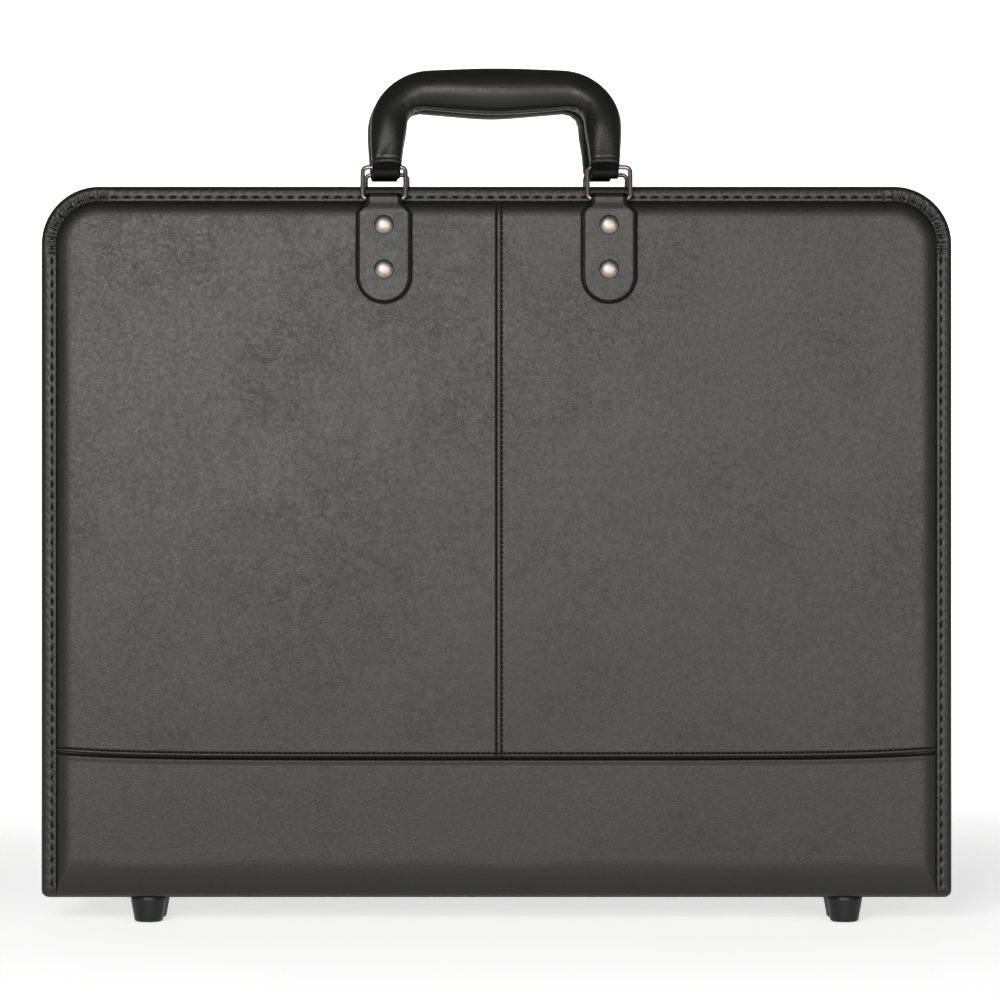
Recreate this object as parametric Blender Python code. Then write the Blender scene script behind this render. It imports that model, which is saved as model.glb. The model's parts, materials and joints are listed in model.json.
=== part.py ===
"""Zip-round portfolio case with padded covers, paired handles, a soft spine on feet and a ring binder.

Frame: X runs along the spine, -Y is the front, +Z is up, and the feet stand on z = 0.
"Inset" is a distance inwards from a cover's outline; "depth" is a distance outwards from the plane that
holds both the cover's fold line and its inner face.
"""

import math

import bmesh
import bpy
from mathutils import Matrix, Vector

# ---------------------------------------------------------------- driving dimensions, in metres
GAP = 0.0003  # left between pieces that touch

CASE_W = 0.597
CASE_H = 0.466
FOOT_H = 0.0175
CORNER_R = 0.038
CORNER_STEPS = 7
FOLD_Y = 0.028  # the fold lines lie this far in front of and behind the middle
BASE_Z = FOOT_H
TOP_Z = BASE_Z + CASE_H

CROWN = 0.010  # depth of the padded face
SKIN = 0.0013
BORDER = 0.0103  # width of the sewn border
BORDER_DEPTH = 0.0035
PAD_SLOPE = ((0.0118, 0.0070), (0.0152, 0.0091), (0.0210, CROWN))  # inset and depth up to the face
ROLL_H = 0.024  # height over which the lower end of a cover rolls under
ROLL_STEPS = 7
BINDING = 0.0012
BINDING_LIP = 0.0100

BOARD_T = 0.0020
BOARD_CLEAR_Z = 0.012
SIDE_SEAM_Z = BASE_Z + 0.0927  # seam between the upper panels and the lower band
MIDDLE_SEAM_X = 0.0
SEAM_GAP = 0.0003

WALL_INSET = 0.009  # the zip wall stands this far inside the outline
WALL_T = 0.0015
WALL_CORNER_R = 0.0265  # the wall bends parallel to an outline with this radius
WALL_CLEAR_Z = 0.0062
GUSSET_W = 0.0124
TAPE_T = 0.0010
TAPE_W = 0.0117
CHAIN_T = 0.0024
CHAIN_W = 0.0023
LINING_T = 0.0008
LINING_INSET = 0.0112
POCKET_T = 0.0010
POCKET_H = 0.260
POCKET_SIDE = 0.030

SPINE_SKIN = 0.0015
SPINE_BOARD = 0.0020
SPINE_LINING = 0.0008
SPINE_SKIN_INSET = 0.0015  # how far each layer of the spine stops short of the covers' ends
SPINE_BOARD_INSET = 0.008
SPINE_LINING_INSET = 0.006

TAB_X = 0.0736
TAB_W = 0.0368
TAB_NECK_W = 0.0237
TAB_T = 0.0037
TAB_TOP_Z = TOP_Z - 0.0046
TAB_L = 0.0726
TAB_NECK_L = 0.0062
TAB_SHOULDER_L = 0.0072
TAB_ARC_STEPS = 12
EYE_R = 0.0039
EYE_STEPS = 10

WIRE_R = 0.0015
PIN_CLEAR = 0.0003
RING_W = 0.031
RING_H = 0.0220
RING_CORNER_R = 0.003
RING_CORNER_STEPS = 4

RIVET_R = 0.00645
RIVET_DOME = 0.0030
RIVET_SHANK_R = 0.0020
RIVET_TAIL_R = 0.0036
RIVET_TAIL_T = 0.0008
RIVET_DROPS = (0.0211, 0.0502)  # below the tab's top

LEG_X = 0.0720
GRIP_MIDDLE_Z = 0.0553
GRIP_ARCH = 0.0015
GRIP_CORNER_R = 0.0265
GRIP_R = 0.0146
GRIP_LEG_R = 0.0119
GRIP_END_R = 0.0098
GRIP_END_Z = 0.0052
GRIP_BORE_R = 0.0081
GRIP_SIDES = 12
CORE_W = 0.0130
CORE_T = 0.0080
LUG_W = 0.0164
LUG_LOW = 0.0080
LUG_TOP = 0.0049
LUG_CORNER_R = 0.0035
HANDLES_APART = 0.0006
RING_SHIFT = {"front": 0.0, "back": -0.0002}  # sideways play of the rings on their tabs
HANDLE_SHIFT = {"front": -0.0005, "back": -0.0024}  # and of the handles in their rings

FOOT_X = 0.2294
FOOT_Y = 0.0150
FOOT_TOP_R = 0.01175
FOOT_LOW_R = 0.0095
FOOT_EDGE = 0.0012
STUD_R = 0.0025

BINDER_L = 0.440
BINDER_W = 0.023
BINDER_T = 0.0010
BINDER_H = 0.0115
BINDER_RAISE = 0.0054
POST_L = 0.008
BLADE_T = 0.0012
BLADE_W = 0.0084
BLADE_Z = 0.0030
RINGS = 7
RING_PITCH = 0.064
BINDER_RING_R = 0.0175
BINDER_RING_LIFT = 0.019  # the rings' centre above the blades
BINDER_RING_OUT = 0.0134  # where a ring rises past the edge of the arched plate
BINDER_WIRE_R = 0.0011
BINDER_RING_STEPS = 7
BINDER_RING_BEND = 0.0008
BINDER_RING_START = 0.0020  # how far a ring's wire starts inside the blade
LEVER_L = 0.018
LEVER_W = 0.014
LEVER_T = 0.0016
LEVER_LEAN = 0.004
LEVER_LIP = 0.004
LEVER_LIP_RISE = 0.002
LEVER_OUT = 0.003  # from the plate's end to the lever's axis, and from the floor up to it

SLIDER_L = 0.010
SLIDER_W = 0.0090
SLIDER_PLATE = 0.0013
SLIDER_CLEAR = 0.0006
SLIDER_POST = 0.0011
SLIDER_X = 0.0075
PULL_L = 0.024
PULL_W = 0.0076
PULL_T = 0.0012
PULL_PRONG = 0.0017
PULL_LUG_L = 0.0030
PULL_LUG_W = 0.0024
PULL_LUG_H = 0.0030
PULL_EYE = 0.0008  # the pull's prongs run this far past their axis
PULL_NECK = 0.001
PULL_BEVEL = 0.002

ROUND = 12
FINE_ROUND = 16

# ---------------------------------------------------------------- derived places
EYE_DEPTH = CROWN + GAP + TAB_T / 2
EYE_Y = FOLD_Y + EYE_DEPTH
EYE_Z = TAB_TOP_Z - EYE_R
LEAN = math.atan((EYE_Y - GRIP_R - HANDLES_APART) / (RING_H + GRIP_MIDDLE_Z))
WALL_MIDDLE_INSET = WALL_INSET + WALL_T / 2
CHAIN_Z = TOP_Z - WALL_MIDDLE_INSET
SPINE_TOP = BASE_Z + SPINE_SKIN + SPINE_BOARD + SPINE_LINING + 2 * GAP
SIDES = {"front": -1, "back": 1}

LEATHERETTE = ("black leatherette", (0.018, 0.019, 0.018), 0.42, 0.0)
BLACK_TAPE = ("black woven tape", (0.012, 0.012, 0.013), 0.85, 0.0)
LINING_CLOTH = ("black lining cloth", (0.016, 0.016, 0.018), 0.80, 0.0)
FOAM = ("charcoal foam", (0.050, 0.050, 0.052), 0.95, 0.0)
BOARD = ("grey board", (0.160, 0.150, 0.135), 0.90, 0.0)
NICKEL = ("satin nickel", (0.600, 0.560, 0.510), 0.28, 1.0)
BLACK_PLASTIC = ("moulded black plastic", (0.020, 0.021, 0.020), 0.48, 0.0)
ZIP_PLASTIC = ("black zip plastic", (0.014, 0.014, 0.014), 0.35, 0.0)


# ---------------------------------------------------------------- helpers
def material(finish):
    """The finish's Principled material, made once."""
    name, colour, roughness, metallic = finish
    made = bpy.data.materials.get(name)
    if made:
        return made
    made = bpy.data.materials.new(name)
    made.use_nodes = True
    shader = made.node_tree.nodes["Principled BSDF"]
    shader.inputs["Base Color"].default_value = (*colour, 1.0)
    shader.inputs["Roughness"].default_value = roughness
    shader.inputs["Metallic"].default_value = metallic
    return made


def loft(rings):
    """A closed solid through loops of points, with both ends capped."""
    bm = bmesh.new()
    loops = [[bm.verts.new(p) for p in ring] for ring in rings]
    for low, high in zip(loops, loops[1:]):
        for i, _ in enumerate(low):
            j = (i + 1) % len(low)
            bm.faces.new((low[i], low[j], high[j], high[i]))
    bm.faces.new(reversed(loops[0]))
    bm.faces.new(loops[-1])
    bmesh.ops.recalc_face_normals(bm, faces=bm.faces)
    mesh = bpy.data.meshes.new("shape")
    bm.to_mesh(mesh)
    bm.free()
    return mesh


def prism(points, axis, low, high):
    """An outline extruded along X, Y or Z; its points are the other two coordinates in order."""

    def at(point, along):
        u, v = point
        return {"X": (along, u, v), "Y": (u, along, v), "Z": (u, v, along)}[axis]

    return loft([[at(p, low) for p in points], [at(p, high) for p in points]])


def box(low, high):
    corners = [(low[0], low[1]), (high[0], low[1]), (high[0], high[1]), (low[0], high[1])]
    return prism(corners, "Z", low[2], high[2])


def turned(profile, centre, turn=None, sides=ROUND):
    """A solid of revolution about Z through (radius, height) points, then turned and moved."""
    rings = []
    for radius, height in profile:
        angles = [math.tau * i / sides for i in range(sides)]
        rings.append([(radius * math.cos(a), radius * math.sin(a), height) for a in angles])
    mesh = loft(rings)
    mesh.transform(Matrix.Translation(centre) @ (turn or Matrix.Identity(4)))
    return mesh


def rod(start, end, radius, sides=12):
    """A straight round bar between two points."""
    start = Vector(start)
    span = Vector(end) - start
    turn = span.to_track_quat("Z", "Y").to_matrix().to_4x4()
    return turned([(radius, 0), (radius, span.length)], start, turn, sides)


def tube_loop(points, radius, sides=6):
    """A closed wire loop through points that lie in the XZ plane."""
    rings = []
    count = len(points)
    for i, (x, z) in enumerate(points):
        before = Vector(points[i - 1])
        after = Vector(points[(i + 1) % count])
        along = (after - before).normalized()
        out = Vector((along.y, -along.x))
        ring = []
        for k in range(sides):
            a = math.tau * k / sides
            reach = radius * math.cos(a)
            ring.append((x + out.x * reach, radius * math.sin(a), z + out.y * reach))
        rings.append(ring)
    bm = bmesh.new()
    loops = [[bm.verts.new(p) for p in ring] for ring in rings]
    for i in range(count):
        here, there = loops[i], loops[(i + 1) % count]
        for k in range(sides):
            n = (k + 1) % sides
            bm.faces.new((here[k], here[n], there[n], there[k]))
    bmesh.ops.recalc_face_normals(bm, faces=bm.faces)
    mesh = bpy.data.meshes.new("wire")
    bm.to_mesh(mesh)
    bm.free()
    return mesh


def combined(mesh, others, operation):
    """The mesh after an exact Boolean with each of the others, which are used up."""
    body = bpy.data.objects.new("work", mesh)
    bpy.context.collection.objects.link(body)
    tools = []
    for other in others:
        tool = bpy.data.objects.new("tool", other)
        bpy.context.collection.objects.link(tool)
        step = body.modifiers.new("cut", "BOOLEAN")
        step.operation = operation
        step.solver = "EXACT"
        step.object = tool
        tools.append(tool)
    graph = bpy.context.evaluated_depsgraph_get()
    result = bpy.data.meshes.new_from_object(body.evaluated_get(graph))
    result.materials.clear()
    for thing in [body, *tools]:
        bpy.data.objects.remove(thing)
    return result


def cut(mesh, *tools):
    return combined(mesh, tools, "DIFFERENCE")


def kept(mesh, *tools):
    return combined(mesh, tools, "INTERSECT")


def joined(mesh, *tools):
    return combined(mesh, tools, "UNION")


def node(name, mesh, finish, parent, smooth=None):
    """Puts a mesh that is modelled in its parent's frame into the scene as one named piece."""
    mesh.name = name
    mesh.materials.append(material(finish))
    if smooth:
        mesh.shade_smooth()
        mesh.set_sharp_from_angle(angle=math.radians(smooth))
    piece = bpy.data.objects.new(name, mesh)
    bpy.context.collection.objects.link(piece)
    piece.parent = parent
    return piece


def axis_empty(name, place, parent=None, lean=0.0):
    """An empty on a joint's axis, which carries the pieces that turn about it."""
    empty = bpy.data.objects.new(name, None)
    empty.location = place
    empty.rotation_euler.x = lean
    empty.parent = parent
    bpy.context.collection.objects.link(empty)
    return empty


# ---------------------------------------------------------------- cover outline
def outline(inset, low, corner):
    """A cover's outline inset at the sides and top, from lower left over the top to lower right (X, Z)."""
    half = CASE_W / 2 - inset
    top = TOP_Z - inset
    radius = corner - inset
    points = [(-half, low)]
    for i in range(CORNER_STEPS + 1):
        a = math.pi - math.pi / 2 * i / CORNER_STEPS
        points.append((-half + radius + radius * math.cos(a), top - radius + radius * math.sin(a)))
    mirrored = [(-x, z) for x, z in reversed(points)]
    return points + mirrored


def cover_ring(inset, depth, side, low, corner=CORNER_R):
    return [(x, side * (FOLD_Y + depth), z) for x, z in outline(inset, low, corner)]


def band(profile, side, low, corner=CORNER_R):
    """A strip that runs up one side, over the top and down the other, with a profile of (inset, depth)."""
    paths = [cover_ring(inset, depth, side, low, corner) for inset, depth in profile]
    sections = list(zip(*paths))
    return loft(sections)


def padded_form(grow, side):
    """The cover's padded shape; grow is its distance in from the skin's outer face, from 0 up."""
    slope = [(BORDER, BORDER_DEPTH), *PAD_SLOPE]
    low = BASE_Z - 0.01
    if grow == 0:
        steps = [(BINDING + GAP, GAP), (BINDING + GAP, BORDER_DEPTH), *slope]
    else:
        steps = [(inset + grow, depth - grow) for inset, depth in slope]
        steps = [(steps[0][0], GAP - grow)] + steps
    form = loft([cover_ring(inset, depth, side, low) for inset, depth in steps])
    return kept(form, rolled_end(grow, side))


def rolled_end(grow, side):
    """Everything within the curve by which the cover's lower end turns under, as a solid along X."""
    reach = CROWN - grow
    drop = ROLL_H - grow
    back = 0.02
    if grow == 0:
        points = [(-back, TOP_Z), (-back, BASE_Z + 0.0001), (GAP / 2, BASE_Z + 0.0001)]
    else:
        points = [(-back, TOP_Z), (-back, BASE_Z + grow)]
    for i in range(1, ROLL_STEPS + 1):
        a = math.pi / 2 * (1 - i / ROLL_STEPS)
        points.append((reach * math.cos(a), BASE_Z + ROLL_H - drop * math.sin(a)))
    points.append((reach + 0.001, TOP_Z))
    shaped = [(side * (FOLD_Y + depth), z) for depth, z in points]
    return prism(shaped, "X", -CASE_W, CASE_W)


def rivet_places():
    for end, sign in (("left", -1), ("right", 1)):
        for level, drop in zip(("upper", "lower"), RIVET_DROPS):
            yield f"{level}_{end}", sign * TAB_X, TAB_TOP_Z - drop


def rivet_holes(side):
    """Drills for the four rivet shanks of one cover."""
    near = side * (FOLD_Y - 0.002)
    far = side * (FOLD_Y + 0.020)
    radius = RIVET_SHANK_R + GAP
    return [rod((x, near, z), (x, far, z), radius) for _, x, z in rivet_places()]


def to_hinge(mesh):
    """Shifts a mesh that was modelled in the case's frame to its cover's fold line."""
    centre = sum((v.co.y for v in mesh.vertices)) / len(mesh.vertices)
    fold = math.copysign(FOLD_Y, centre)
    mesh.transform(Matrix.Translation((0, -fold, -BASE_Z)))
    return mesh


# ---------------------------------------------------------------- covers
def cover_skins(name, side, hinge):
    """Leatherette in three pieces: two upper panels and the lower band that rolls under."""
    tray = cut(padded_form(0, side), padded_form(SKIN, side), *rivet_holes(side))
    half = CASE_W
    reach = (-0.1, 0.1)
    gap = SEAM_GAP / 2
    areas = {
        "skin_left": ((-half, SIDE_SEAM_Z + gap), (MIDDLE_SEAM_X - gap, TOP_Z + 0.1)),
        "skin_right": ((MIDDLE_SEAM_X + gap, SIDE_SEAM_Z + gap), (half, TOP_Z + 0.1)),
        "skin_lower": ((-half, -0.1), (half, SIDE_SEAM_Z - gap)),
    }
    for label, (low, high) in areas.items():
        area = box((low[0], reach[0], low[1]), (high[0], reach[1], high[1]))
        piece = kept(tray.copy(), area)
        node(f"{name}_{label}", to_hinge(piece), LEATHERETTE, hinge, smooth=35)


def cover_filling(name, side, hinge):
    """The stiff board and the foam pad over it."""
    room = padded_form(SKIN + GAP, side)
    low = BASE_Z + BOARD_CLEAR_Z
    depths = {"board": (GAP, BOARD_T), "padding": (BOARD_T + GAP, CROWN)}
    finishes = {"board": BOARD, "padding": FOAM}
    for label, (near, far) in depths.items():
        ys = sorted((side * (FOLD_Y + near), side * (FOLD_Y + far)))
        layer = box((-CASE_W, ys[0], low), (CASE_W, ys[1], TOP_Z))
        piece = kept(room.copy(), layer)
        piece = cut(piece, *rivet_holes(side))
        node(f"{name}_{label}", to_hinge(piece), finishes[label], hinge)


def cover_edges(name, side, hinge):
    """The sewn binding, and the zip wall of gusset, tape and chain."""
    lip = BORDER_DEPTH + GAP
    low = BASE_Z + GAP
    binding = [
        (0, GAP),
        (0, lip + BINDING),
        (BINDING_LIP, lip + BINDING),
        (BINDING_LIP, lip),
        (BINDING, lip),
        (BINDING, GAP),
    ]
    node(f"{name}_binding", to_hinge(band(binding, side, low)), LEATHERETTE, hinge, smooth=35)
    low = BASE_Z + WALL_CLEAR_Z
    start = -GAP
    rows = (
        ("gusset", GUSSET_W, WALL_T, LEATHERETTE),
        ("zip_tape", TAPE_W, TAPE_T, BLACK_TAPE),
        ("zip_chain", CHAIN_W, CHAIN_T, ZIP_PLASTIC),
    )
    for label, width, thick, finish in rows:
        near = WALL_MIDDLE_INSET - thick / 2
        far = WALL_MIDDLE_INSET + thick / 2
        profile = [(near, start), (near, start - width), (far, start - width), (far, start)]
        strip = band(profile, side, low, WALL_CORNER_R)
        node(f"{name}_{label}", to_hinge(strip), finish, hinge, smooth=35)
        start -= width + GAP


def cover_inside(name, side, hinge):
    """The lining over the board, and the document pocket on it."""
    low = BASE_Z + WALL_CLEAR_Z
    near = -GAP
    rings = [cover_ring(LINING_INSET, depth, side, low) for depth in (near, near - LINING_T)]
    tails = [tail_room(x, z, side) for _, x, z in rivet_places()]
    node(f"{name}_lining", to_hinge(cut(loft(rings), *tails)), LINING_CLOTH, hinge)
    near -= LINING_T + GAP
    half = CASE_W / 2 - POCKET_SIDE
    ys = sorted((side * (FOLD_Y + near), side * (FOLD_Y + near - POCKET_T)))
    bottom = BASE_Z + 2 * ROLL_H
    pocket = box((-half, ys[0], bottom), (half, ys[1], bottom + POCKET_H))
    node(f"{name}_pocket", to_hinge(pocket), LINING_CLOTH, hinge)


def tail_room(x, z, side):
    """The hole in the lining that the peened end of a rivet lies in."""
    near = side * (FOLD_Y - 0.004)
    far = side * (FOLD_Y + 0.001)
    return rod((x, near, z), (x, far, z), RIVET_TAIL_R + GAP)


def cover_tabs(name, side, hinge):
    """The two handle tabs: a shaped plate whose narrow upper end loops round a ring."""
    plate_near = CROWN + GAP
    plate_far = plate_near + TAB_T
    below = math.acos(TAB_T / 2 / EYE_R)  # where the eye runs into the plate's two faces
    loop = []
    for i in range(EYE_STEPS + 1):
        a = math.pi + below - (math.pi + 2 * below) * i / EYE_STEPS
        loop.append((EYE_DEPTH + EYE_R * math.cos(a), EYE_Z + EYE_R * math.sin(a)))
    profile = [(plate_near, TAB_TOP_Z - 2 * TAB_L), *loop, (plate_far, TAB_TOP_Z - 2 * TAB_L)]
    profile = [(side * (FOLD_Y + depth), z) for depth, z in profile]
    for label, sign in (("left", -1), ("right", 1)):
        middle = sign * TAB_X
        form = prism(profile, "X", middle - TAB_W, middle + TAB_W)
        front = prism(tab_outline(middle), "Y", -0.1, 0.1)
        bar = rod((middle - TAB_W, side * EYE_Y, EYE_Z), (middle + TAB_W, side * EYE_Y, EYE_Z),
                  WIRE_R + PIN_CLEAR)
        piece = cut(kept(form, front), bar, *rivet_holes(side))
        node(f"{name}_tab_{label}", to_hinge(piece), LEATHERETTE, hinge, smooth=35)


def tab_outline(middle):
    """A tab seen from the front: neck, sloping shoulders, and a round lower end."""
    half = TAB_W / 2
    neck = TAB_NECK_W / 2
    right = [(neck, TAB_TOP_Z + 0.01), (neck, TAB_TOP_Z - TAB_NECK_L)]
    right.append((half, TAB_TOP_Z - TAB_NECK_L - TAB_SHOULDER_L))
    centre = TAB_TOP_Z - TAB_L + half
    for i in range(TAB_ARC_STEPS // 2):
        a = math.pi * i / TAB_ARC_STEPS
        right.append((half * math.cos(a), centre - half * math.sin(a)))
    left = [(-x, z) for x, z in reversed(right)]
    points = [*right, (0, TAB_TOP_Z - TAB_L), *left]
    return [(middle + x, z) for x, z in points]


def cover_rivets(name, side, hinge):
    """Domed rivets that clamp the tabs through skin, foam and board."""
    head = CROWN + 2 * GAP + TAB_T
    tail = -GAP / 2
    turn = Matrix.Rotation(-side * math.pi / 2, 4, "X")
    for label, x, z in rivet_places():
        profile = [
            (RIVET_TAIL_R, tail - RIVET_TAIL_T),
            (RIVET_TAIL_R, tail),
            (RIVET_SHANK_R, tail),
            (RIVET_SHANK_R, head),
            (RIVET_R, head),
            (RIVET_R * 0.93, head + RIVET_DOME * 0.45),
            (RIVET_R * 0.66, head + RIVET_DOME * 0.82),
            (RIVET_R * 0.25, head + RIVET_DOME),
        ]
        piece = turned(profile, (x, side * FOLD_Y, z), turn)
        node(f"{name}_rivet_{label}", to_hinge(piece), NICKEL, hinge, smooth=40)


def cover(name, side):
    hinge = axis_empty(f"{name}_fold_axis", (0, side * FOLD_Y, BASE_Z))
    cover_skins(name, side, hinge)
    cover_filling(name, side, hinge)
    cover_edges(name, side, hinge)
    cover_inside(name, side, hinge)
    cover_tabs(name, side, hinge)
    cover_rivets(name, side, hinge)
    return hinge


# ---------------------------------------------------------------- rings and handles
def ring_path():
    """A rectangular ring's centreline, with its lower bar on z = 0."""
    half = RING_W / 2 - WIRE_R
    r = RING_CORNER_R
    corners = ((half - r, r, -90), (half - r, RING_H - r, 0), (r - half, RING_H - r, 90), (r - half, r, 180))
    points = []
    for x, z, start in corners:
        for i in range(RING_CORNER_STEPS + 1):
            a = math.radians(start + 90 * i / RING_CORNER_STEPS)
            points.append((x + r * math.cos(a), z + r * math.sin(a)))
    return points


def handle_path():
    """The grip's centreline from left to right (X, Z), with the tube's radius at each point."""
    corner_z = GRIP_MIDDLE_Z - GRIP_ARCH - GRIP_CORNER_R
    left = [(-LEG_X, GRIP_END_Z, GRIP_END_R)]
    left.append((-LEG_X, GRIP_END_Z + 0.006, 0.97 * GRIP_LEG_R))
    steps = 5
    for i in range(steps + 1):
        a = math.pi - math.pi / 2 * i / steps
        x = -LEG_X + GRIP_CORNER_R + GRIP_CORNER_R * math.cos(a)
        radius = GRIP_LEG_R + (GRIP_R - GRIP_LEG_R) * 0.35 * i / steps
        left.append((x, corner_z + GRIP_CORNER_R * math.sin(a), radius))
    left.append((-0.022, GRIP_MIDDLE_Z - GRIP_ARCH * 0.3, 0.96 * GRIP_R))
    right = [(-x, z, radius) for x, z, radius in reversed(left)]
    return [*left, (0, GRIP_MIDDLE_Z, GRIP_R), *right]


def swept(path, radii, sides):
    """Rings of points round a centreline that lies in the XZ plane."""
    rings = []
    for i, (x, z, _) in enumerate(path):
        before = path[max(i - 1, 0)]
        after = path[min(i + 1, len(path) - 1)]
        along = Vector((after[0] - before[0], after[1] - before[1])).normalized()
        out = Vector((-along.y, along.x))
        ring = []
        for k in range(sides):
            a = math.tau * k / sides
            reach = radii[i] * math.cos(a)
            ring.append((x + out.x * reach, radii[i] * math.sin(a), z + out.y * reach))
        rings.append(ring)
    return rings


def grip_tube():
    """The padded grip: a tube, open at both ends, that the core passes through."""
    path = handle_path()
    outer = swept(path, [radius for _, _, radius in path], GRIP_SIDES)
    inner = swept(path, [GRIP_BORE_R] * len(path), GRIP_SIDES)
    bm = bmesh.new()
    walls = [[[bm.verts.new(p) for p in ring] for ring in rings] for rings in (outer, inner)]
    for loops in walls:
        for here, there in zip(loops, loops[1:]):
            for k in range(GRIP_SIDES):
                n = (k + 1) % GRIP_SIDES
                bm.faces.new((here[k], here[n], there[n], there[k]))
    for end in (0, -1):
        here, there = walls[0][end], walls[1][end]
        for k in range(GRIP_SIDES):
            n = (k + 1) % GRIP_SIDES
            bm.faces.new((here[k], here[n], there[n], there[k]))
    bmesh.ops.recalc_face_normals(bm, faces=bm.faces)
    mesh = bpy.data.meshes.new("grip")
    bm.to_mesh(mesh)
    bm.free()
    return mesh


def core_plate():
    """The strap that runs through the grip, with a lug at each end that turns on a ring's upper bar."""
    path = [(x, z) for x, z, _ in handle_path()]
    edges = []
    for sign in (1, -1):
        row = []
        for i, (x, z) in enumerate(path):
            before = Vector(path[max(i - 1, 0)])
            after = Vector(path[min(i + 1, len(path) - 1)])
            along = (after - before).normalized()
            row.append((x - sign * along.y * CORE_W / 2, z + sign * along.x * CORE_W / 2))
        edges.append(row)
    plate = prism([*edges[0], *reversed(edges[1])], "Y", -CORE_T / 2, CORE_T / 2)
    lugs = []
    bars = []
    for sign in (-1, 1):
        lugs.append(prism(lug_outline(sign * LEG_X), "Y", -CORE_T / 2, CORE_T / 2))
        bars.append(rod((sign * LEG_X - LUG_W, 0, 0), (sign * LEG_X + LUG_W, 0, 0), WIRE_R + PIN_CLEAR))
    return cut(joined(plate, *lugs), *bars)


def lug_outline(middle):
    half = LUG_W / 2
    r = LUG_CORNER_R
    steps = 3
    right = [(CORE_W / 2, GRIP_END_Z + 0.001), (CORE_W / 2, LUG_TOP), (half, LUG_TOP - 0.001)]
    for i in range(steps + 1):
        a = math.pi / 2 * i / steps
        right.append((half - r + r * math.cos(a), r - LUG_LOW - r * math.sin(a)))
    left = [(-x, z) for x, z in reversed(right)]
    return [(middle + x, z) for x, z in [*right, *left]]


def handle(name, side, hinge):
    """Two rings that swing on the tabs, and the handle that swings on the rings."""
    place = (0, side * EYE_DEPTH, EYE_Z - BASE_Z)
    lower = axis_empty(f"{name}_ring_axis", place, hinge, side * LEAN)
    for label, sign in (("left", -1), ("right", 1)):
        wire = tube_loop(ring_path(), WIRE_R)
        wire.transform(Matrix.Translation((sign * TAB_X + RING_SHIFT[name], 0, 0)))
        node(f"{name}_ring_{label}", wire, NICKEL, lower, smooth=60)
    upper = axis_empty(f"{name}_handle_axis", (0, 0, RING_H), lower)
    for label, mesh in (("grip", grip_tube()), ("core", core_plate())):
        mesh.transform(Matrix.Translation((HANDLE_SHIFT[name], 0, 0)))
        node(f"{name}_handle_{label}", mesh, LEATHERETTE, upper, smooth=50)


# ---------------------------------------------------------------- spine, feet and binder
def spine():
    holes = [(sx * FOOT_X, sy * FOOT_Y) for sx in (-1, 1) for sy in (-1, 1)]
    drills = [rod((x, y, 0), (x, y, 2 * FOOT_H), STUD_R + GAP) for x, y in holes]
    half = FOLD_Y - GAP
    level = BASE_Z
    rows = (
        ("spine_skin", CASE_W / 2 - SPINE_SKIN_INSET, half, SPINE_SKIN, LEATHERETTE),
        ("spine_board", CASE_W / 2 - SPINE_BOARD_INSET, half - 0.002, SPINE_BOARD, BOARD),
        ("spine_lining", CASE_W / 2 - SPINE_LINING_INSET, half - 0.0005, SPINE_LINING, LINING_CLOTH),
    )
    for label, x, y, thick, finish in rows:
        plate = box((-x, -y, level), (x, y, level + thick))
        if label != "spine_lining":
            plate = cut(plate, *[d.copy() for d in drills])
        node(label, plate, finish, None)
        level += thick + GAP
    top = BASE_Z + SPINE_SKIN + SPINE_BOARD
    for x, y in holes:
        profile = [
            (FOOT_LOW_R - FOOT_EDGE, 0),
            (FOOT_LOW_R, FOOT_EDGE),
            (FOOT_TOP_R, FOOT_H - 0.003),
            (FOOT_TOP_R, FOOT_H - GAP),
            (STUD_R, FOOT_H - GAP),
            (STUD_R, top),
        ]
        label = f"foot_{'front' if y < 0 else 'back'}_{'left' if x < 0 else 'right'}"
        node(label, turned(profile, (x, y, 0), sides=FINE_ROUND), BLACK_PLASTIC, None, smooth=40)


def arch_row(below, floor):
    """Points across the binder's arched plate (Y, Z), a distance below its upper face."""
    steps = 8
    row = []
    for i in range(steps + 1):
        y = BINDER_W * (i / steps - 0.5)
        rise = (BINDER_H - BINDER_RAISE) * math.cos(math.pi * (i / steps - 0.5))
        row.append((y, floor + BINDER_RAISE + rise - below))
    return row


def binder():
    """A ring mechanism on the spine: an arched plate on two posts, two blades with half rings, two levers."""
    floor = SPINE_TOP + GAP
    half = BINDER_L / 2
    plate = prism([*arch_row(0, floor), *reversed(arch_row(BINDER_T, floor))], "X", -half, half)
    end_shape = [*arch_row(BINDER_T / 2, floor), (BINDER_W / 2, floor), (-BINDER_W / 2, floor)]
    posts = []
    for sign in (-1, 1):
        near, far = sorted((sign * (half - POST_L), sign * (half - 0.001)))
        posts.append(prism(end_shape, "X", near, far))
    node("binder_base", joined(plate, *posts), NICKEL, None, smooth=40)
    for name, side in SIDES.items():
        binder_blade(name, side, floor + BLADE_Z)
    for label, sign in (("left", -1), ("right", 1)):
        binder_lever(label, sign, floor)


def binder_blade(name, side, level):
    """A hinged blade under the arch that carries one half of each ring."""
    pivot = side * (BLADE_W + GAP)
    axis = axis_empty(f"{name}_blade_axis", (0, pivot, level))
    half = BINDER_L / 2 - POST_L - 0.001
    inner = -side * BLADE_W
    low_y, high_y = sorted((0.0, inner))
    blade = box((-half, low_y, -BLADE_T / 2), (half, high_y, BLADE_T / 2))
    centre_y = -pivot
    arcs = []
    for i in range(RINGS):
        x = (i - (RINGS - 1) / 2) * RING_PITCH
        arcs.append(half_ring(x, side, centre_y))
    node(f"binder_{name}_blade", joined(blade, *arcs), NICKEL, axis, smooth=60)


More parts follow.
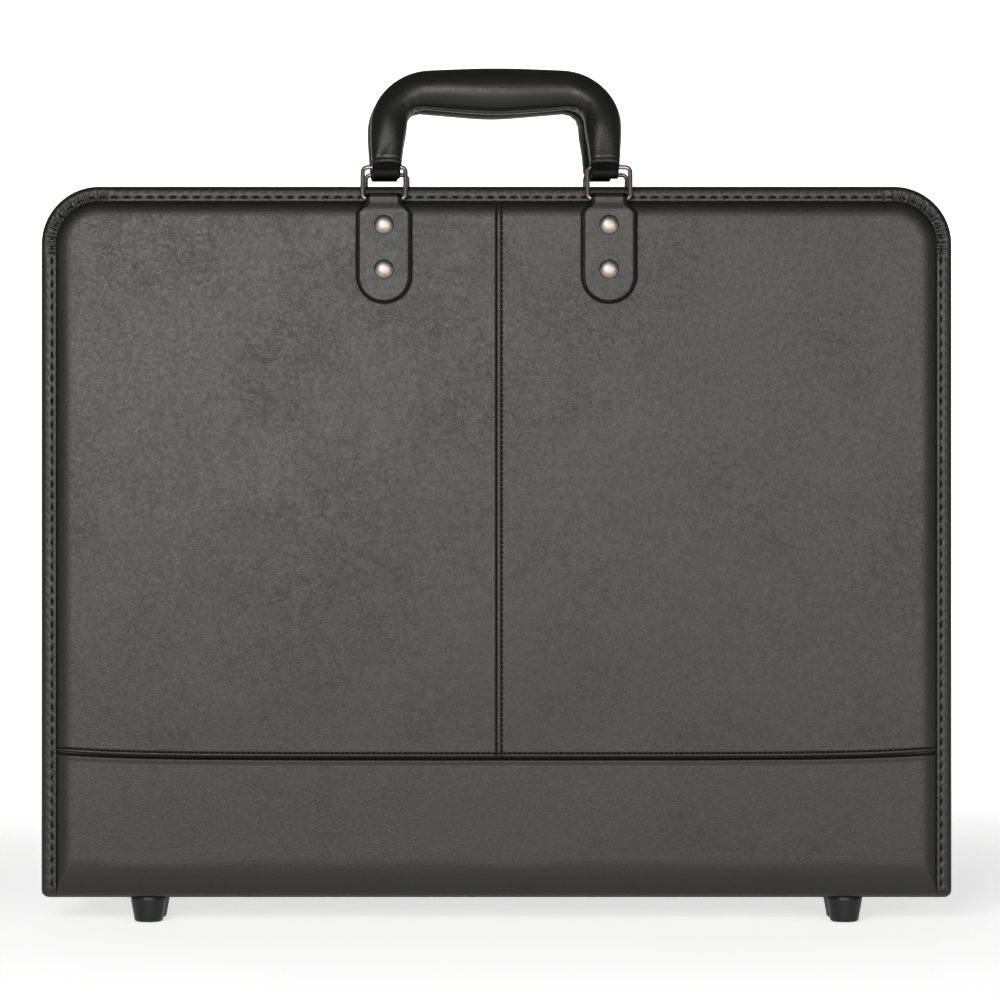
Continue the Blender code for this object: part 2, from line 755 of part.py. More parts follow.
def half_ring(x, side, centre_y):
    """Half of one binder ring: a wire that leaves the blade sideways and curves up to meet its partner."""
    reach = BINDER_RING_OUT - abs(centre_y)
    start = -math.acos(BINDER_RING_OUT / BINDER_RING_R)
    bend = BINDER_RING_BEND
    points = [(-side * BINDER_RING_START, 0.0), (side * (reach - bend), 0.0), (side * reach, bend)]
    for i in range(BINDER_RING_STEPS + 1):
        a = start + (math.pi / 2 - start) * i / BINDER_RING_STEPS
        y = centre_y + side * max(BINDER_RING_R * math.cos(a), GAP / 2)
        points.append((y, BINDER_RING_LIFT + BINDER_RING_R * math.sin(a)))
    rings = []
    sides = 6
    for i, (y, z) in enumerate(points):
        before = Vector(points[max(i - 1, 0)])
        after = Vector(points[min(i + 1, len(points) - 1)])
        along = (after - before).normalized()
        out = Vector((-along.y, along.x))
        if i == len(points) - 1:
            out = Vector((0, 1))
        ring = []
        for k in range(sides):
            a = math.tau * (k + 0.5) / sides
            reach = BINDER_WIRE_R * math.cos(a)
            ring.append((x + BINDER_WIRE_R * math.sin(a), y + out.x * reach, z + out.y * reach))
        rings.append(ring)
    return loft(rings)


def binder_lever(label, sign, floor):
    """The thumb lever at one end of the binder."""
    pivot_x = sign * (BINDER_L / 2 + LEVER_OUT)
    axis = axis_empty(f"{label}_lever_axis", (pivot_x, 0, floor + LEVER_OUT))
    t = LEVER_T / 2
    tip = t + LEVER_LEAN
    lip = tip + LEVER_LIP
    lip_low = LEVER_L + LEVER_LIP_RISE
    profile = [(-t, -t), (t, -t), (tip, LEVER_L), (lip, lip_low), (lip, lip_low + 2 * t),
               (LEVER_LEAN - t, LEVER_L + 2 * t)]
    profile = [(sign * u, v) for u, v in profile]
    node(f"binder_lever_{label}", prism(profile, "Y", -LEVER_W / 2, LEVER_W / 2), NICKEL, axis)


# ---------------------------------------------------------------- zip sliders
def slider(label, sign):
    """A slider on the top run of the zip, and its pull, which lies flat beside it."""
    grip = CHAIN_T / 2 + SLIDER_CLEAR
    outer = grip + SLIDER_PLATE
    w = SLIDER_W / 2
    p = SLIDER_POST / 2
    profile = [(-w, grip), (-p, grip), (-p, -grip), (-w, -grip), (-w, -outer), (w, -outer),
               (w, -grip), (p, -grip), (p, grip), (w, grip), (w, outer), (-w, outer)]
    body = prism(profile, "X", -SLIDER_L / 2, SLIDER_L / 2)
    lug_low = (-PULL_LUG_L / 2, -PULL_LUG_W / 2, outer - 0.0002)
    lug = box(lug_low, (PULL_LUG_L / 2, PULL_LUG_W / 2, outer + PULL_LUG_H))
    carrier = axis_empty(f"{label}_slider_axis", (sign * SLIDER_X, 0, CHAIN_Z))
    node(f"zip_slider_{label}", joined(body, lug), NICKEL, carrier)
    tilt = axis_empty(f"{label}_pull_axis", (0, 0, outer + PULL_LUG_H / 2), carrier)
    slot = PULL_LUG_W / 2 + GAP
    prong = slot + PULL_PRONG
    root = PULL_LUG_L / 2 + PULL_NECK
    half = PULL_W / 2
    upper = [(-PULL_EYE, slot), (-PULL_EYE, prong), (root, prong), (root + PULL_BEVEL, half),
             (PULL_L - PULL_BEVEL, half), (PULL_L, half - PULL_BEVEL)]
    lower = [(x, -y) for x, y in reversed(upper)]
    points = [*upper, *lower, (root, -slot), (root, slot)]
    points = [(sign * x, y) for x, y in points]
    node(f"zip_pull_{label}", prism(points, "Z", -PULL_T / 2, PULL_T / 2), NICKEL, tilt)


def main():
    for thing in list(bpy.data.objects):
        bpy.data.objects.remove(thing)
    for name, side in SIDES.items():
        hinge = cover(name, side)
        handle(name, side, hinge)
    spine()
    binder()
    slider("left", -1)
    slider("right", 1)


main()
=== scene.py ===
"""A zip-round portfolio case, finished: padded covers, carrying handles, zip, spine and binder.

X runs along the spine, -Y is the front and +Z is up. A cover is modelled once, in cover terms: x across,
depth outwards from the fold plane, z up. placed() then puts it on the front or the back of the case.
"""

import json
import math

import bmesh
import bpy
import numpy as np
from mathutils import Matrix, Vector


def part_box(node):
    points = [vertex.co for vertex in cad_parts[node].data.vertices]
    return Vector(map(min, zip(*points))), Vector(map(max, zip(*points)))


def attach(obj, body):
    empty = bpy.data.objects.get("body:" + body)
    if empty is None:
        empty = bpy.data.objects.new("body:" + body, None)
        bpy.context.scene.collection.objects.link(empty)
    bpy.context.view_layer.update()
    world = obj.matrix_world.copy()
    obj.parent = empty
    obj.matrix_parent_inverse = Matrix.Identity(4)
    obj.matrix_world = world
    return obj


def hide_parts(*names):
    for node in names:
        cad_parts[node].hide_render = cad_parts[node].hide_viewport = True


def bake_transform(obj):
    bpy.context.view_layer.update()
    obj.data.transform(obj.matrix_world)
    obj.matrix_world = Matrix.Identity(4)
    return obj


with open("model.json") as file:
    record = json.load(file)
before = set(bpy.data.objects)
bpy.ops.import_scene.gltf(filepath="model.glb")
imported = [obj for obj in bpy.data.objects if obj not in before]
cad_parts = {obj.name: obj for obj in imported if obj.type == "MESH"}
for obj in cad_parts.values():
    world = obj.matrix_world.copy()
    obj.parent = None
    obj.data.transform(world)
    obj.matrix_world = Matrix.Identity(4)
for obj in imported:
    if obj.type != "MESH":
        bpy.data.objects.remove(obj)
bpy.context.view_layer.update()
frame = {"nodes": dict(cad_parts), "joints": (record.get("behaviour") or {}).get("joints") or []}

bl_info = {
    "name": "Portfolio Case",
    "version": (1, 0, 0),
    "blender": (4, 5, 0),
    "location": "3D View > Sidebar > Portfolio Case",
    "description": "Builds a padded leatherette portfolio case round its packed frame",
    "category": "Object",
}

MM = 0.001
JOINTS = {joint["name"]: joint for joint in frame["joints"]}
FOLD_Y = JOINTS["back_cover_fold"]["pos_m"][1]
BASE_Z = JOINTS["back_cover_fold"]["pos_m"][2]
HALF_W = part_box("front_binding")[1].x
TOP_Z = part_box("front_binding")[1].z
CROWN = -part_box("front_skin_left")[0].y - FOLD_Y
LIP_DEPTH = -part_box("front_binding")[0].y - FOLD_Y
SEAM_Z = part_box("front_skin_lower")[1].z
TAB_LOW, TAB_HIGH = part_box("front_tab_right")
TAB_X = (TAB_LOW.x + TAB_HIGH.x) / 2
EYE = Vector(JOINTS["back_ring_swing"]["pos_m"])
BAR = Vector(JOINTS["back_handle_swing"]["pos_m"])
RING_H = (BAR - EYE).length
LEAN = math.atan2(EYE.y - BAR.y, BAR.z - EYE.z)
SIDES = ("front", "back")


# ---------------------------------------------------------------- colours
def linear(code):
    """An sRGB hex colour as linear RGB."""
    parts = [int(code[i : i + 2], 16) / 255 for i in (1, 3, 5)]
    return tuple(c / 12.92 if c <= 0.04045 else ((c + 0.055) / 1.055) ** 2.4 for c in parts)


# ---------------------------------------------------------------- settings
def length_setting(name, description, default):
    return bpy.props.FloatProperty(
        name=name, description=description, default=default, unit="LENGTH", precision=5
    )


def colour_setting(name, description, code):
    return bpy.props.FloatVectorProperty(
        name=name, description=description, default=linear(code), subtype="COLOR", size=3, min=0, max=1
    )


class CaseSizes(bpy.types.PropertyGroup):
    """Sizes of the leatherwork that aren't fixed by the frame."""

    corner: length_setting("Corner radius", "Radius of a cover's upper corners", 0.038)
    border: length_setting("Border", "Width of the sewn border round a cover", 0.0102)
    border_depth: length_setting("Border depth", "Depth of the leatherette under the binding", 0.0035)
    slope: length_setting("Slope", "Width over which the pad rises from the border", 0.0115)
    pillow: length_setting("Pillow", "How far the pad swells in the middle", 0.0009)
    roll: length_setting("Roll", "Height over which the lower end rolls under", 0.030)
    skin: length_setting("Skin", "Thickness of the leatherette", 0.0012)
    border_pitch: length_setting("Border stitch", "Distance from stitch to stitch on the border", 0.0077)
    border_thread: length_setting("Border thread", "Thickness of the border's thread", 0.0008)
    seam_pitch: length_setting("Seam stitch", "Distance from stitch to stitch on the panel seams", 0.0034)
    seam_thread: length_setting("Seam thread", "Thickness of the panel seams' thread", 0.0009)
    wall_corner: length_setting("Wall corner", "The zip wall bends parallel to this radius", 0.0265)
    tooth_pitch: length_setting("Tooth pitch", "From tooth to tooth on one side of the zip", 0.0032)
    strap: length_setting("Strap", "Thickness of one layer of a tab", 0.00178)


class CaseColours(bpy.types.PropertyGroup):
    """Colours of the case's finishes."""

    leather: colour_setting("Leatherette", "Face colour of the leatherette", "#171815")
    # crease_shade is painted shade: the dark colour laid into the creases where shade falls in them
    crease_shade: colour_setting("Crease", "Colour down in the leatherette's creases", "#0A0A09")
    # The edge paint colour is also painted shade: it covers the handle lugs all over and a widened rim round
    # the tabs
    edge: colour_setting("Edge paint", "Paint on the cut edges of the tabs", "#060606")
    thread: colour_setting("Thread", "Sewing thread", "#030303")
    nickel: colour_setting("Nickel", "Plated rings, rivets and binder", "#8E847B")
    lining: colour_setting("Lining", "Woven lining", "#1B1B1D")
    tape: colour_setting("Zip tape", "Woven tape of the zip", "#141415")
    teeth: colour_setting("Zip teeth", "Moulded zip teeth", "#101011")
    foot: colour_setting("Feet", "Moulded feet", "#0E100F")
    foam: colour_setting("Foam", "Pad under the leatherette", "#3A3A3C")
    board: colour_setting("Board", "Stiffening board", "#8A857C")
    floor: colour_setting("Floor", "Studio floor", "#FBFBFA")


def sizes():
    return bpy.context.scene.case_sizes


def colours():
    return bpy.context.scene.case_colours


# ---------------------------------------------------------------- materials
def add(tree, kind, settings=None, links=None, **inputs):
    """A node with its settings, its input values by socket name, and links from other nodes' outputs."""
    node = tree.nodes.new(kind)
    for key, value in (settings or {}).items():
        setattr(node, key, value)
    for key, value in inputs.items():
        node.inputs[key.replace("_", " ")].default_value = value
    for socket, source in (links or {}).items():
        tree.links.new(source, node.inputs[socket])
    return node


def finish(name, **inputs):
    """A new material: its node tree and its Principled shader, with constant inputs set."""
    made = bpy.data.materials.new(name)
    made.use_nodes = True
    tree = made.node_tree
    shader = tree.nodes["Principled BSDF"]
    for key, value in inputs.items():
        shader.inputs[key.replace("_", " ")].default_value = value
    return made, tree, shader


def ramp(tree, source, stops):
    """A colour ramp from (position, grey or colour) stops."""
    node = add(tree, "ShaderNodeValToRGB", links={"Fac": source})
    elements = node.color_ramp.elements
    while len(elements) < len(stops):
        elements.new(0.5)
    for element, (position, value) in zip(elements, stops):
        element.position = position
        element.color = (*value, 1.0) if hasattr(value, "__len__") else (value, value, value, 1.0)
    return node


def mixed(tree, fac, a, b, blend="MIX"):
    """A colour mix of two sources or colours."""
    node = add(tree, "ShaderNodeMix", {"data_type": "RGBA", "blend_type": blend})
    for socket, value in ((0, fac), (6, a), (7, b)):
        if isinstance(value, bpy.types.NodeSocket):
            tree.links.new(value, node.inputs[socket])
        elif hasattr(value, "__len__"):
            node.inputs[socket].default_value = (*value, 1.0)
        else:
            node.inputs[socket].default_value = value
    return node.outputs[2]


def maths(tree, operation, a, b=0.0, c=None):
    node = add(tree, "ShaderNodeMath", {"operation": operation})
    for socket, value in enumerate((a, b, c)):
        if isinstance(value, bpy.types.NodeSocket):
            tree.links.new(value, node.inputs[socket])
        elif value is not None:
            node.inputs[socket].default_value = value
    return node.outputs[0]


def noise(tree, place, size, detail, **inputs):
    """A noise whose features are about the given size."""
    made = add(tree, "ShaderNodeTexNoise", links={"Vector": place}, Scale=1 / size, Detail=detail, **inputs)
    return made.outputs["Fac"]


def object_place(tree):
    return add(tree, "ShaderNodeTexCoord").outputs["Object"]


def coloured(tree, shader, colour, source, stops):
    """Gives the shader a colour times a grey that follows a source."""
    tone = ramp(tree, source, stops).outputs["Color"]
    tree.links.new(mixed(tree, 1.0, tuple(colour), tone, "MULTIPLY"), shader.inputs["Base Color"])


def roughened(tree, shader, source, swing, base):
    """Gives the shader a roughness that follows a source."""
    tree.links.new(maths(tree, "MULTIPLY_ADD", source, swing, base), shader.inputs["Roughness"])


def embossed(tree, shader, height, strength, distance):
    """Gives the shader bumps from a height."""
    bump = add(tree, "ShaderNodeBump", links={"Height": height}, Strength=strength, Distance=distance)
    tree.links.new(bump.outputs["Normal"], shader.inputs["Normal"])
    return bump


def crease_lines(tree, place, cell, detail, width):
    """Dark where a warped noise crosses its middle value, which draws branching lines about a cell apart."""
    warped = noise(tree, place, cell, detail, Roughness=0.62, Distortion=0.9)
    away = maths(tree, "ABSOLUTE", maths(tree, "SUBTRACT", warped, 0.5))
    return maths(tree, "MINIMUM", maths(tree, "DIVIDE", away, width), 1.0)


def leatherette(name, creases=1.0, gloss=0.44, gleam=0.36):
    """Polyurethane leatherette, embossed and crushed: a satin face, fine pebbles, and creases in patches,
    darkened with painted shade.
    """
    made, tree, shader = finish(name, Specular_IOR_Level=gleam, Specular_Tint=(*linear("#FFFAF0"), 1))
    c = colours()
    place = object_place(tree)
    patches = noise(tree, place, 70 * MM, 2.0)
    where = ramp(tree, patches, ((0.43, 0.0), (0.62, 0.9))).outputs["Color"]
    long_lines = crease_lines(tree, place, 30 * MM, 9.0, 0.010)
    short_lines = crease_lines(tree, place, 8 * MM, 6.0, 0.030)
    long_mask = maths(tree, "MULTIPLY", maths(tree, "SUBTRACT", 1.0, long_lines), where)
    short_where = maths(tree, "MULTIPLY_ADD", where, 0.45, 0.22)
    short_mask = maths(tree, "MULTIPLY", maths(tree, "SUBTRACT", 1.0, short_lines), short_where)
    lines = maths(tree, "MULTIPLY", maths(tree, "MAXIMUM", long_mask, short_mask), creases)
    cloudy = noise(tree, place, 34 * MM, 5.0, Roughness=0.6)
    tone = ramp(tree, cloudy, ((0.3, 0.90), (0.7, 1.08))).outputs["Color"]
    face = mixed(tree, 1.0, tuple(c.leather), tone, "MULTIPLY")
    # Painted shade: the crease lines darken the face towards the crease shade colour
    colour = mixed(tree, maths(tree, "MULTIPLY", lines, 0.6), face, tuple(c.crease_shade))
    tree.links.new(colour, shader.inputs["Base Color"])
    shine = noise(tree, place, 3.4 * MM, 7.0, Roughness=0.75)
    shine_swing, cloud_swing, line_swing = 0.46, 0.08, 0.07
    rough = maths(tree, "MULTIPLY_ADD", shine, shine_swing, gloss - shine_swing / 2)
    rough = maths(tree, "MULTIPLY_ADD", cloudy, cloud_swing, maths(tree, "SUBTRACT", rough, cloud_swing / 2))
    tree.links.new(maths(tree, "MULTIPLY_ADD", lines, line_swing, rough), shader.inputs["Roughness"])
    pebbles = add(tree, "ShaderNodeTexVoronoi", {"feature": "SMOOTH_F1"}, {"Vector": place},
                  Scale=1 / (1.3 * MM))
    fine = embossed(tree, shader, pebbles.outputs["Distance"], 0.26, 0.25 * MM)
    dents = embossed(tree, shader, lines, 0.20, 0.25 * MM)
    dents.invert = True
    tree.links.new(fine.outputs["Normal"], dents.inputs["Normal"])
    return made


def edge_paint_and_shade():
    """Edge paint, brushed on the cut edge in coats: near black, half gloss, slightly uneven. It also serves as
    painted shade on the handle lugs and on the tabs' widened rim.
    """
    made, tree, shader = finish("painted leather edge", Specular_IOR_Level=0.08)
    coats = noise(tree, object_place(tree), 4 * MM, 3.0)
    coloured(tree, shader, colours().edge, coats, ((0.3, 0.7), (0.7, 1.2)))
    roughened(tree, shader, coats, 0.2, 0.38)
    embossed(tree, shader, coats, 0.3, 0.3 * MM)
    return made


def thread():
    """Bonded nylon thread, twisted: plies 0.5 mm apart, drawn as slanting ridges."""
    made, tree, shader = finish("bonded nylon thread", Roughness=0.6, Specular_IOR_Level=0.12)
    plies = add(tree, "ShaderNodeTexWave", {"bands_direction": "DIAGONAL"}, {"Vector": object_place(tree)},
                Scale=1 / (2.4 * MM), Distortion=1.0).outputs["Fac"]
    # Painted shade and highlight: the colour follows the ply ridges, darker in the grooves between plies and
    # lighter on their crests
    coloured(tree, shader, colours().thread, plies, ((0.0, 0.6), (1.0, 1.3)))
    embossed(tree, shader, plies, 0.4, 0.1 * MM)
    return made


def nickel():
    """Nickel plate over steel, barrel polished: warm grey, soft highlights, faint rubbed patches."""
    made, tree, shader = finish("satin nickel plate", Metallic=1.0)
    rubbed = noise(tree, object_place(tree), 3 * MM, 6.0)
    coloured(tree, shader, colours().nickel, rubbed, ((0.3, 0.86), (0.7, 1.04)))
    roughened(tree, shader, rubbed, 0.14, 0.35)
    embossed(tree, shader, rubbed, 0.06, 0.1 * MM)
    return made


def woven(name, colour, spacing, sheen=0.25):
    """Plain woven nylon: warp and weft ridges, drawn at 0.9 mm or more so that they show."""
    made, tree, shader = finish(name, Roughness=0.82, Sheen_Weight=sheen, Sheen_Roughness=0.5)
    place = object_place(tree)
    scale = 1 / (spacing * 6.28 / 2)
    ridges = []
    for direction in ("X", "Z"):
        wave = add(tree, "ShaderNodeTexWave", {"bands_direction": direction}, {"Vector": place}, Scale=scale,
                   Distortion=0.4)
        ridges.append(wave.outputs["Fac"])
    weave = maths(tree, "MULTIPLY", ridges[0], ridges[1])
    worn = noise(tree, place, 25 * MM, 3.0)
    # Partly painted shade: the colour darkens in the low parts of the weave; the worn noise adds real uneven
    # wear
    coloured(tree, shader, colour, maths(tree, "MULTIPLY_ADD", weave, 0.5, worn), ((0.3, 0.7), (1.0, 1.35)))
    embossed(tree, shader, weave, 0.5, 0.3 * MM)
    return made


def moulded(name, colour, gloss, grain):
    """Moulded plastic: a spark-eroded grain on the mould gives a fine satin texture."""
    made, tree, shader = finish(name, Specular_IOR_Level=0.3)
    speckle = noise(tree, object_place(tree), grain, 3.0)
    coloured(tree, shader, colour, speckle, ((0.3, 0.85), (0.7, 1.12)))
    roughened(tree, shader, speckle, 0.15, gloss - 0.07)
    embossed(tree, shader, speckle, 0.2, 0.15 * MM)
    return made


def cellular(name, colour, pore):
    """Foam or pulp board: matt, with open pores or fibres at the given size."""
    made, tree, shader = finish(name, Roughness=0.95)
    pores = add(tree, "ShaderNodeTexVoronoi", links={"Vector": object_place(tree)}, Scale=1 / pore)
    # Painted shade: the colour is darker down in each pore, where the bump makes a hollow
    coloured(tree, shader, colour, pores.outputs["Distance"], ((0.1, 0.6), (0.6, 1.15)))
    embossed(tree, shader, pores.outputs["Distance"], 0.5, 0.4 * MM)
    return made


RECIPES = {
    "skin": lambda: leatherette("crushed polyurethane leatherette"),
    "trim": lambda: leatherette("folded leatherette trim", creases=0.5, gloss=0.43, gleam=0.35),
    "grip": lambda: leatherette("stretched leatherette grip", creases=0.2, gloss=0.38, gleam=0.26),
    "edge": edge_paint_and_shade,
    "thread": thread,
    "nickel": nickel,
    "lining": lambda: woven("woven nylon lining", colours().lining, 0.9 * MM),
    "tape": lambda: woven("woven zip tape", colours().tape, 1.1 * MM, 0.15),
    "teeth": lambda: moulded("moulded acetal zip teeth", colours().teeth, 0.34, 0.8 * MM),
    "foot": lambda: moulded("moulded plastic foot", colours().foot, 0.42, 0.6 * MM),
    "foam": lambda: cellular("open cell foam", colours().foam, 1.2 * MM),
    "board": lambda: cellular("grey millboard", colours().board, 2.5 * MM),
}
MADE = {}


def material(key):
    if key not in MADE:
        MADE[key] = RECIPES[key]()
    return MADE[key]


# ---------------------------------------------------------------- meshes
def built(name, points, faces, *keys):
    """An object from points and faces, with outward normals, smooth shading and its materials."""
    mesh = bpy.data.meshes.new(name)
    mesh.from_pydata(points, [], faces)
    bm = bmesh.new()
    bm.from_mesh(mesh)
    bmesh.ops.recalc_face_normals(bm, faces=bm.faces)
    bm.to_mesh(mesh)
    bm.free()
    return finished(name, mesh, *keys)


def finished(name, mesh, *keys, sharp=None):
    mesh.name = name
    for key in keys:
        mesh.materials.append(material(key))
    mesh.shade_smooth()
    if sharp:
        mesh.set_sharp_from_angle(angle=math.radians(sharp))
    piece = bpy.data.objects.new(name, mesh)
    bpy.context.scene.collection.objects.link(piece)
    return piece


def settle(piece, body, slot, *nodes):
    """The piece rides on a body and stands for CAD nodes, which it hides. The slot argument is not used."""
    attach(piece, body)
    if nodes:
        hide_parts(*nodes)
    return piece


def level_grid(x, y, z):
    """A grid of points over rows of x and columns of y, at heights z."""
    grid = np.zeros((len(x), len(y), 3))
    grid[:, :, 0] = x[:, None]
    grid[:, :, 1] = y[None, :]
    grid[:, :, 2] = z
    return grid


def grid_faces(rows, columns, wrap_rows=False, wrap_columns=False, start=0):
    faces = []
    for i in range(rows if wrap_rows else rows - 1):
        for j in range(columns if wrap_columns else columns - 1):
            a = (i % rows) * columns
            b = ((i + 1) % rows) * columns
            k = (j + 1) % columns
            faces.append((start + a + j, start + a + k, start + b + k, start + b + j))
    return faces


def grid_normals(grid):
    """Unit normals of a grid of points."""
    across = np.gradient(grid, axis=1)
    along = np.gradient(grid, axis=0)
    normals = np.cross(across, along)
    return normals / np.maximum(np.linalg.norm(normals, axis=2, keepdims=True), 1e-12)


def shell(grid, thickness):
    """A sheet with a thickness: the grid is its face, the other side lies behind it, and the rim is closed."""
    rows, columns, _ = grid.shape
    inner = grid - grid_normals(grid) * thickness
    count = rows * columns
    faces = grid_faces(rows, columns) + grid_faces(rows, columns, start=count)
    rim = [j for j in range(columns)]
    rim += [i * columns + columns - 1 for i in range(1, rows)]
    rim += [(rows - 1) * columns + j for j in range(columns - 2, -1, -1)]
    rim += [i * columns for i in range(rows - 2, 0, -1)]
    for k, a in enumerate(rim):
        b = rim[(k + 1) % len(rim)]
        faces.append((a, b, b + count, a + count))
    points = np.concatenate([grid.reshape(-1, 3), inner.reshape(-1, 3)])
    return points, faces


def tube(sections, closed=False):
    """A closed solid through like rings of points; not closed means capped at both ends."""
    grid = np.array(sections)
    rows, columns, _ = grid.shape
    faces = grid_faces(rows, columns, wrap_rows=closed, wrap_columns=True)
    if not closed:
        faces.append(tuple(range(columns - 1, -1, -1)))
        faces.append(tuple((rows - 1) * columns + j for j in range(columns)))
    return grid.reshape(-1, 3), faces


def outward(side):
    """The way along Y that a side of the case faces."""
    return -1 if side == "front" else 1


def placed(points, side):
    """Puts points given as x, depth, z on the front or the back; the back is the front turned about Z."""
    points = np.array(points, float).reshape(-1, 3)
    way = outward(side)
    return np.column_stack([-way * points[:, 0], way * (FOLD_Y + points[:, 1]), points[:, 2]])


def cover_sheet(name, grid, side, thickness, key):
    """A sheet with a thickness on a cover, from a grid in cover terms."""
    points, faces = shell(placed(grid, side).reshape(grid.shape), thickness)
    return built(name, points.tolist(), faces, key)


def cover_solid(name, points, faces, side, *keys):
    """A solid on a cover, from points in cover terms."""
    return built(name, placed(points, side).tolist(), faces, *keys)


def other(label, side):
    """The name of the left or right piece, which change over when the cover is turned to the back."""
    return label if side == "front" else {"left": "right", "right": "left"}[label]


def smooth(t):
    t = np.clip(t, 0, 1)
    return t * t * (3 - 2 * t)


def waves(u, v, seed, count, shortest, longest):
    """A gentle unevenness of about unit height from plane waves with wavelengths in a range."""
    draw = np.random.default_rng(seed)
    total = np.zeros(np.broadcast(u, v).shape)
    for _ in range(count):
        length = draw.uniform(shortest, longest)
        angle, phase = draw.uniform(0, math.tau, 2)
        total += np.sin(math.tau * (u * math.cos(angle) + v * math.sin(angle)) / length + phase)
    return total / math.sqrt(count)


def bevelled(piece, width, segments=3, angle=35):
    """Rounds a piece's edges with a Bevel modifier and keeps the result as its mesh."""
    step = piece.modifiers.new("rounded edges", "BEVEL")
    step.width = width
    step.segments = segments
    step.limit_method = "ANGLE"
    step.angle_limit = math.radians(angle)
    step.harden_normals = False
    return applied(piece)


def applied(piece):
    """The piece with its modifiers turned into plain mesh."""
    graph = bpy.context.evaluated_depsgraph_get()
    mesh = bpy.data.meshes.new_from_object(piece.evaluated_get(graph))
    old = piece.data
    piece.modifiers.clear()
    piece.data = mesh
    bpy.data.meshes.remove(old)
    mesh.name = piece.name
    return piece


def extruded(name, outline, axis, low, high, place, keys, bevel=None, segments=2):
    """An outline extruded along an axis, rounded, then moved by a matrix."""
    order = {
        "X": lambda p, t: (t, p[0], p[1]),
        "Y": lambda p, t: (p[0], t, p[1]),
        "Z": lambda p, t: (p[0], p[1], t),
    }
    rings = [[order[axis](p, t) for p in outline] for t in (low, high)]
    points, faces = tube(rings)
    piece = built(name, points.tolist(), faces, *keys)
    if bevel:
        bevelled(piece, bevel, segments)
    piece.data.transform(place)
    piece.data.shade_smooth()
    piece.data.set_sharp_from_angle(angle=math.radians(50))
    return piece


def lathe(name, profile, sides, place, *keys, sharp=None):
    """A turned solid through (radius, height) points, about Z, then moved by a matrix."""
    angles = [math.tau * i / sides for i in range(sides)]
    rings = [[(r * math.cos(a), r * math.sin(a), h) for a in angles] for r, h in profile]
    points, faces = tube(rings)
    piece = built(name, points.tolist(), faces, *keys)
    piece.data.transform(place)
    if sharp:
        piece.data.set_sharp_from_angle(angle=math.radians(sharp))
    return piece


# ---------------------------------------------------------------- cover shape
def inset_at(x, z):
    """Distance in from a cover's outline at the sides and top."""
    r = sizes().corner
    dx = HALF_W - np.abs(x)
    dz = TOP_Z - z
    corner = r - np.hypot(r - np.minimum(dx, r), r - np.minimum(dz, r))
    return np.where((dx < r) & (dz < r), corner, np.minimum(dx, dz))


def reach_at(z, inset):
    """Half the width, at a height, of the cover's outline inset by a distance."""
    r = sizes().corner
    if z > TOP_Z - r:
        return HALF_W - r + math.sqrt(max((r - inset) ** 2 - (z - TOP_Z + r) ** 2, 0))
    return HALF_W - inset


def outline_path(inset, step, low, corner=None):
    """Points along the outline inset by a distance, from lower left over the top to lower right, and the
    distance run at each: rows of x, z and run."""
    r = corner or sizes().corner
    half = HALF_W - inset
    top = TOP_Z - inset
    radius = r - inset
    side = top - radius - low
    arc = radius * math.pi / 2
    flat = 2 * (half - radius)
    total = 2 * side + 2 * arc + flat
    rows = []
    for run in np.linspace(0, total, max(2, round(total / step)) + 1):
        mirrored = run > total / 2
        t = total - run if mirrored else run
        if t < side:
            x, z = -half, low + t
        elif t < side + arc:
            a = math.pi - (t - side) / radius
            x, z = -half + radius + radius * math.cos(a), top - radius + radius * math.sin(a)
        else:
            x, z = -half + radius + (t - side - arc), top
        rows.append((-x if mirrored else x, z, run))
    return np.array(rows)


def run_along(inset, low, x, z):
    """Distance run along the inset outline to the place nearest a point on the outline, and its length."""
    r = sizes().corner
    radius = r - inset
    side = TOP_Z - r - low
    arc = radius * math.pi / 2
    flat = 2 * (HALF_W - r)
    total = 2 * (side + arc) + flat
    out, up = abs(x) - (HALF_W - r), z - (TOP_Z - r)
    if up <= 0:
        run = side + up
    elif out <= 0:
        run = side + arc - out
    else:
        run = side + radius * math.atan2(up, out)
    return (run if x < 0 else total - run), total


def corner_share(x, z):
    """1 in the bend of an upper corner, falling to 0 along the straight edges."""
    r = sizes().corner
    away = np.hypot(np.maximum(0, (HALF_W - r) - np.abs(x)), np.maximum(0, (TOP_Z - r) - z))
    return smooth(1 - away / (14 * MM))


def pad_rise(x, z):
    """How the pad lifts the skin, from 0 at the border to 1 on its face, steep at first and then level."""
    s = sizes()
    t = np.clip((inset_at(x, z) - s.border) / s.slope, 0, 1)
    return np.sqrt(1 - (1 - t) ** 2)


def face_depth(x, z):
    """Depth of the padded face: border, slope, soft pillow and unevenness."""
    s = sizes()
    rise = pad_rise(x, z)
    low, high = SEAM_Z + 0.01, TAB_LOW.z - 0.012
    belly = np.sin(math.pi * np.clip((z - low) / (high - low), 0, 1)) * (1 - (x / HALF_W) ** 2)
    uneven = 0.10 * MM * waves(x, z, 5, 14, 0.05, 0.16) + 0.025 * MM * waves(x, z, 6, 18, 0.014, 0.04)
    face = s.border_depth + (CROWN - s.border_depth) * rise + s.pillow * belly * rise
    return face + (uneven - 0.12 * MM) * rise


def seam_rise(x):
    """The cross seam runs level and turns up towards both borders."""
    away = HALF_W - sizes().border - np.abs(x)
    return 4.0 * MM * np.exp(-np.maximum(away, 0) / 0.045)


def spaced(stops):
    """Rising values through (value, step) stops: from each value on, points are about a step apart."""
    values = []
    for (a, step), (b, _) in zip(stops, stops[1:]):
        values.extend(np.linspace(a, b, max(1, round(abs(b - a) / step)), endpoint=False))
    values.append(stops[-1][0])
    return np.array(values)


SKIN_HEM = 5.5 * MM


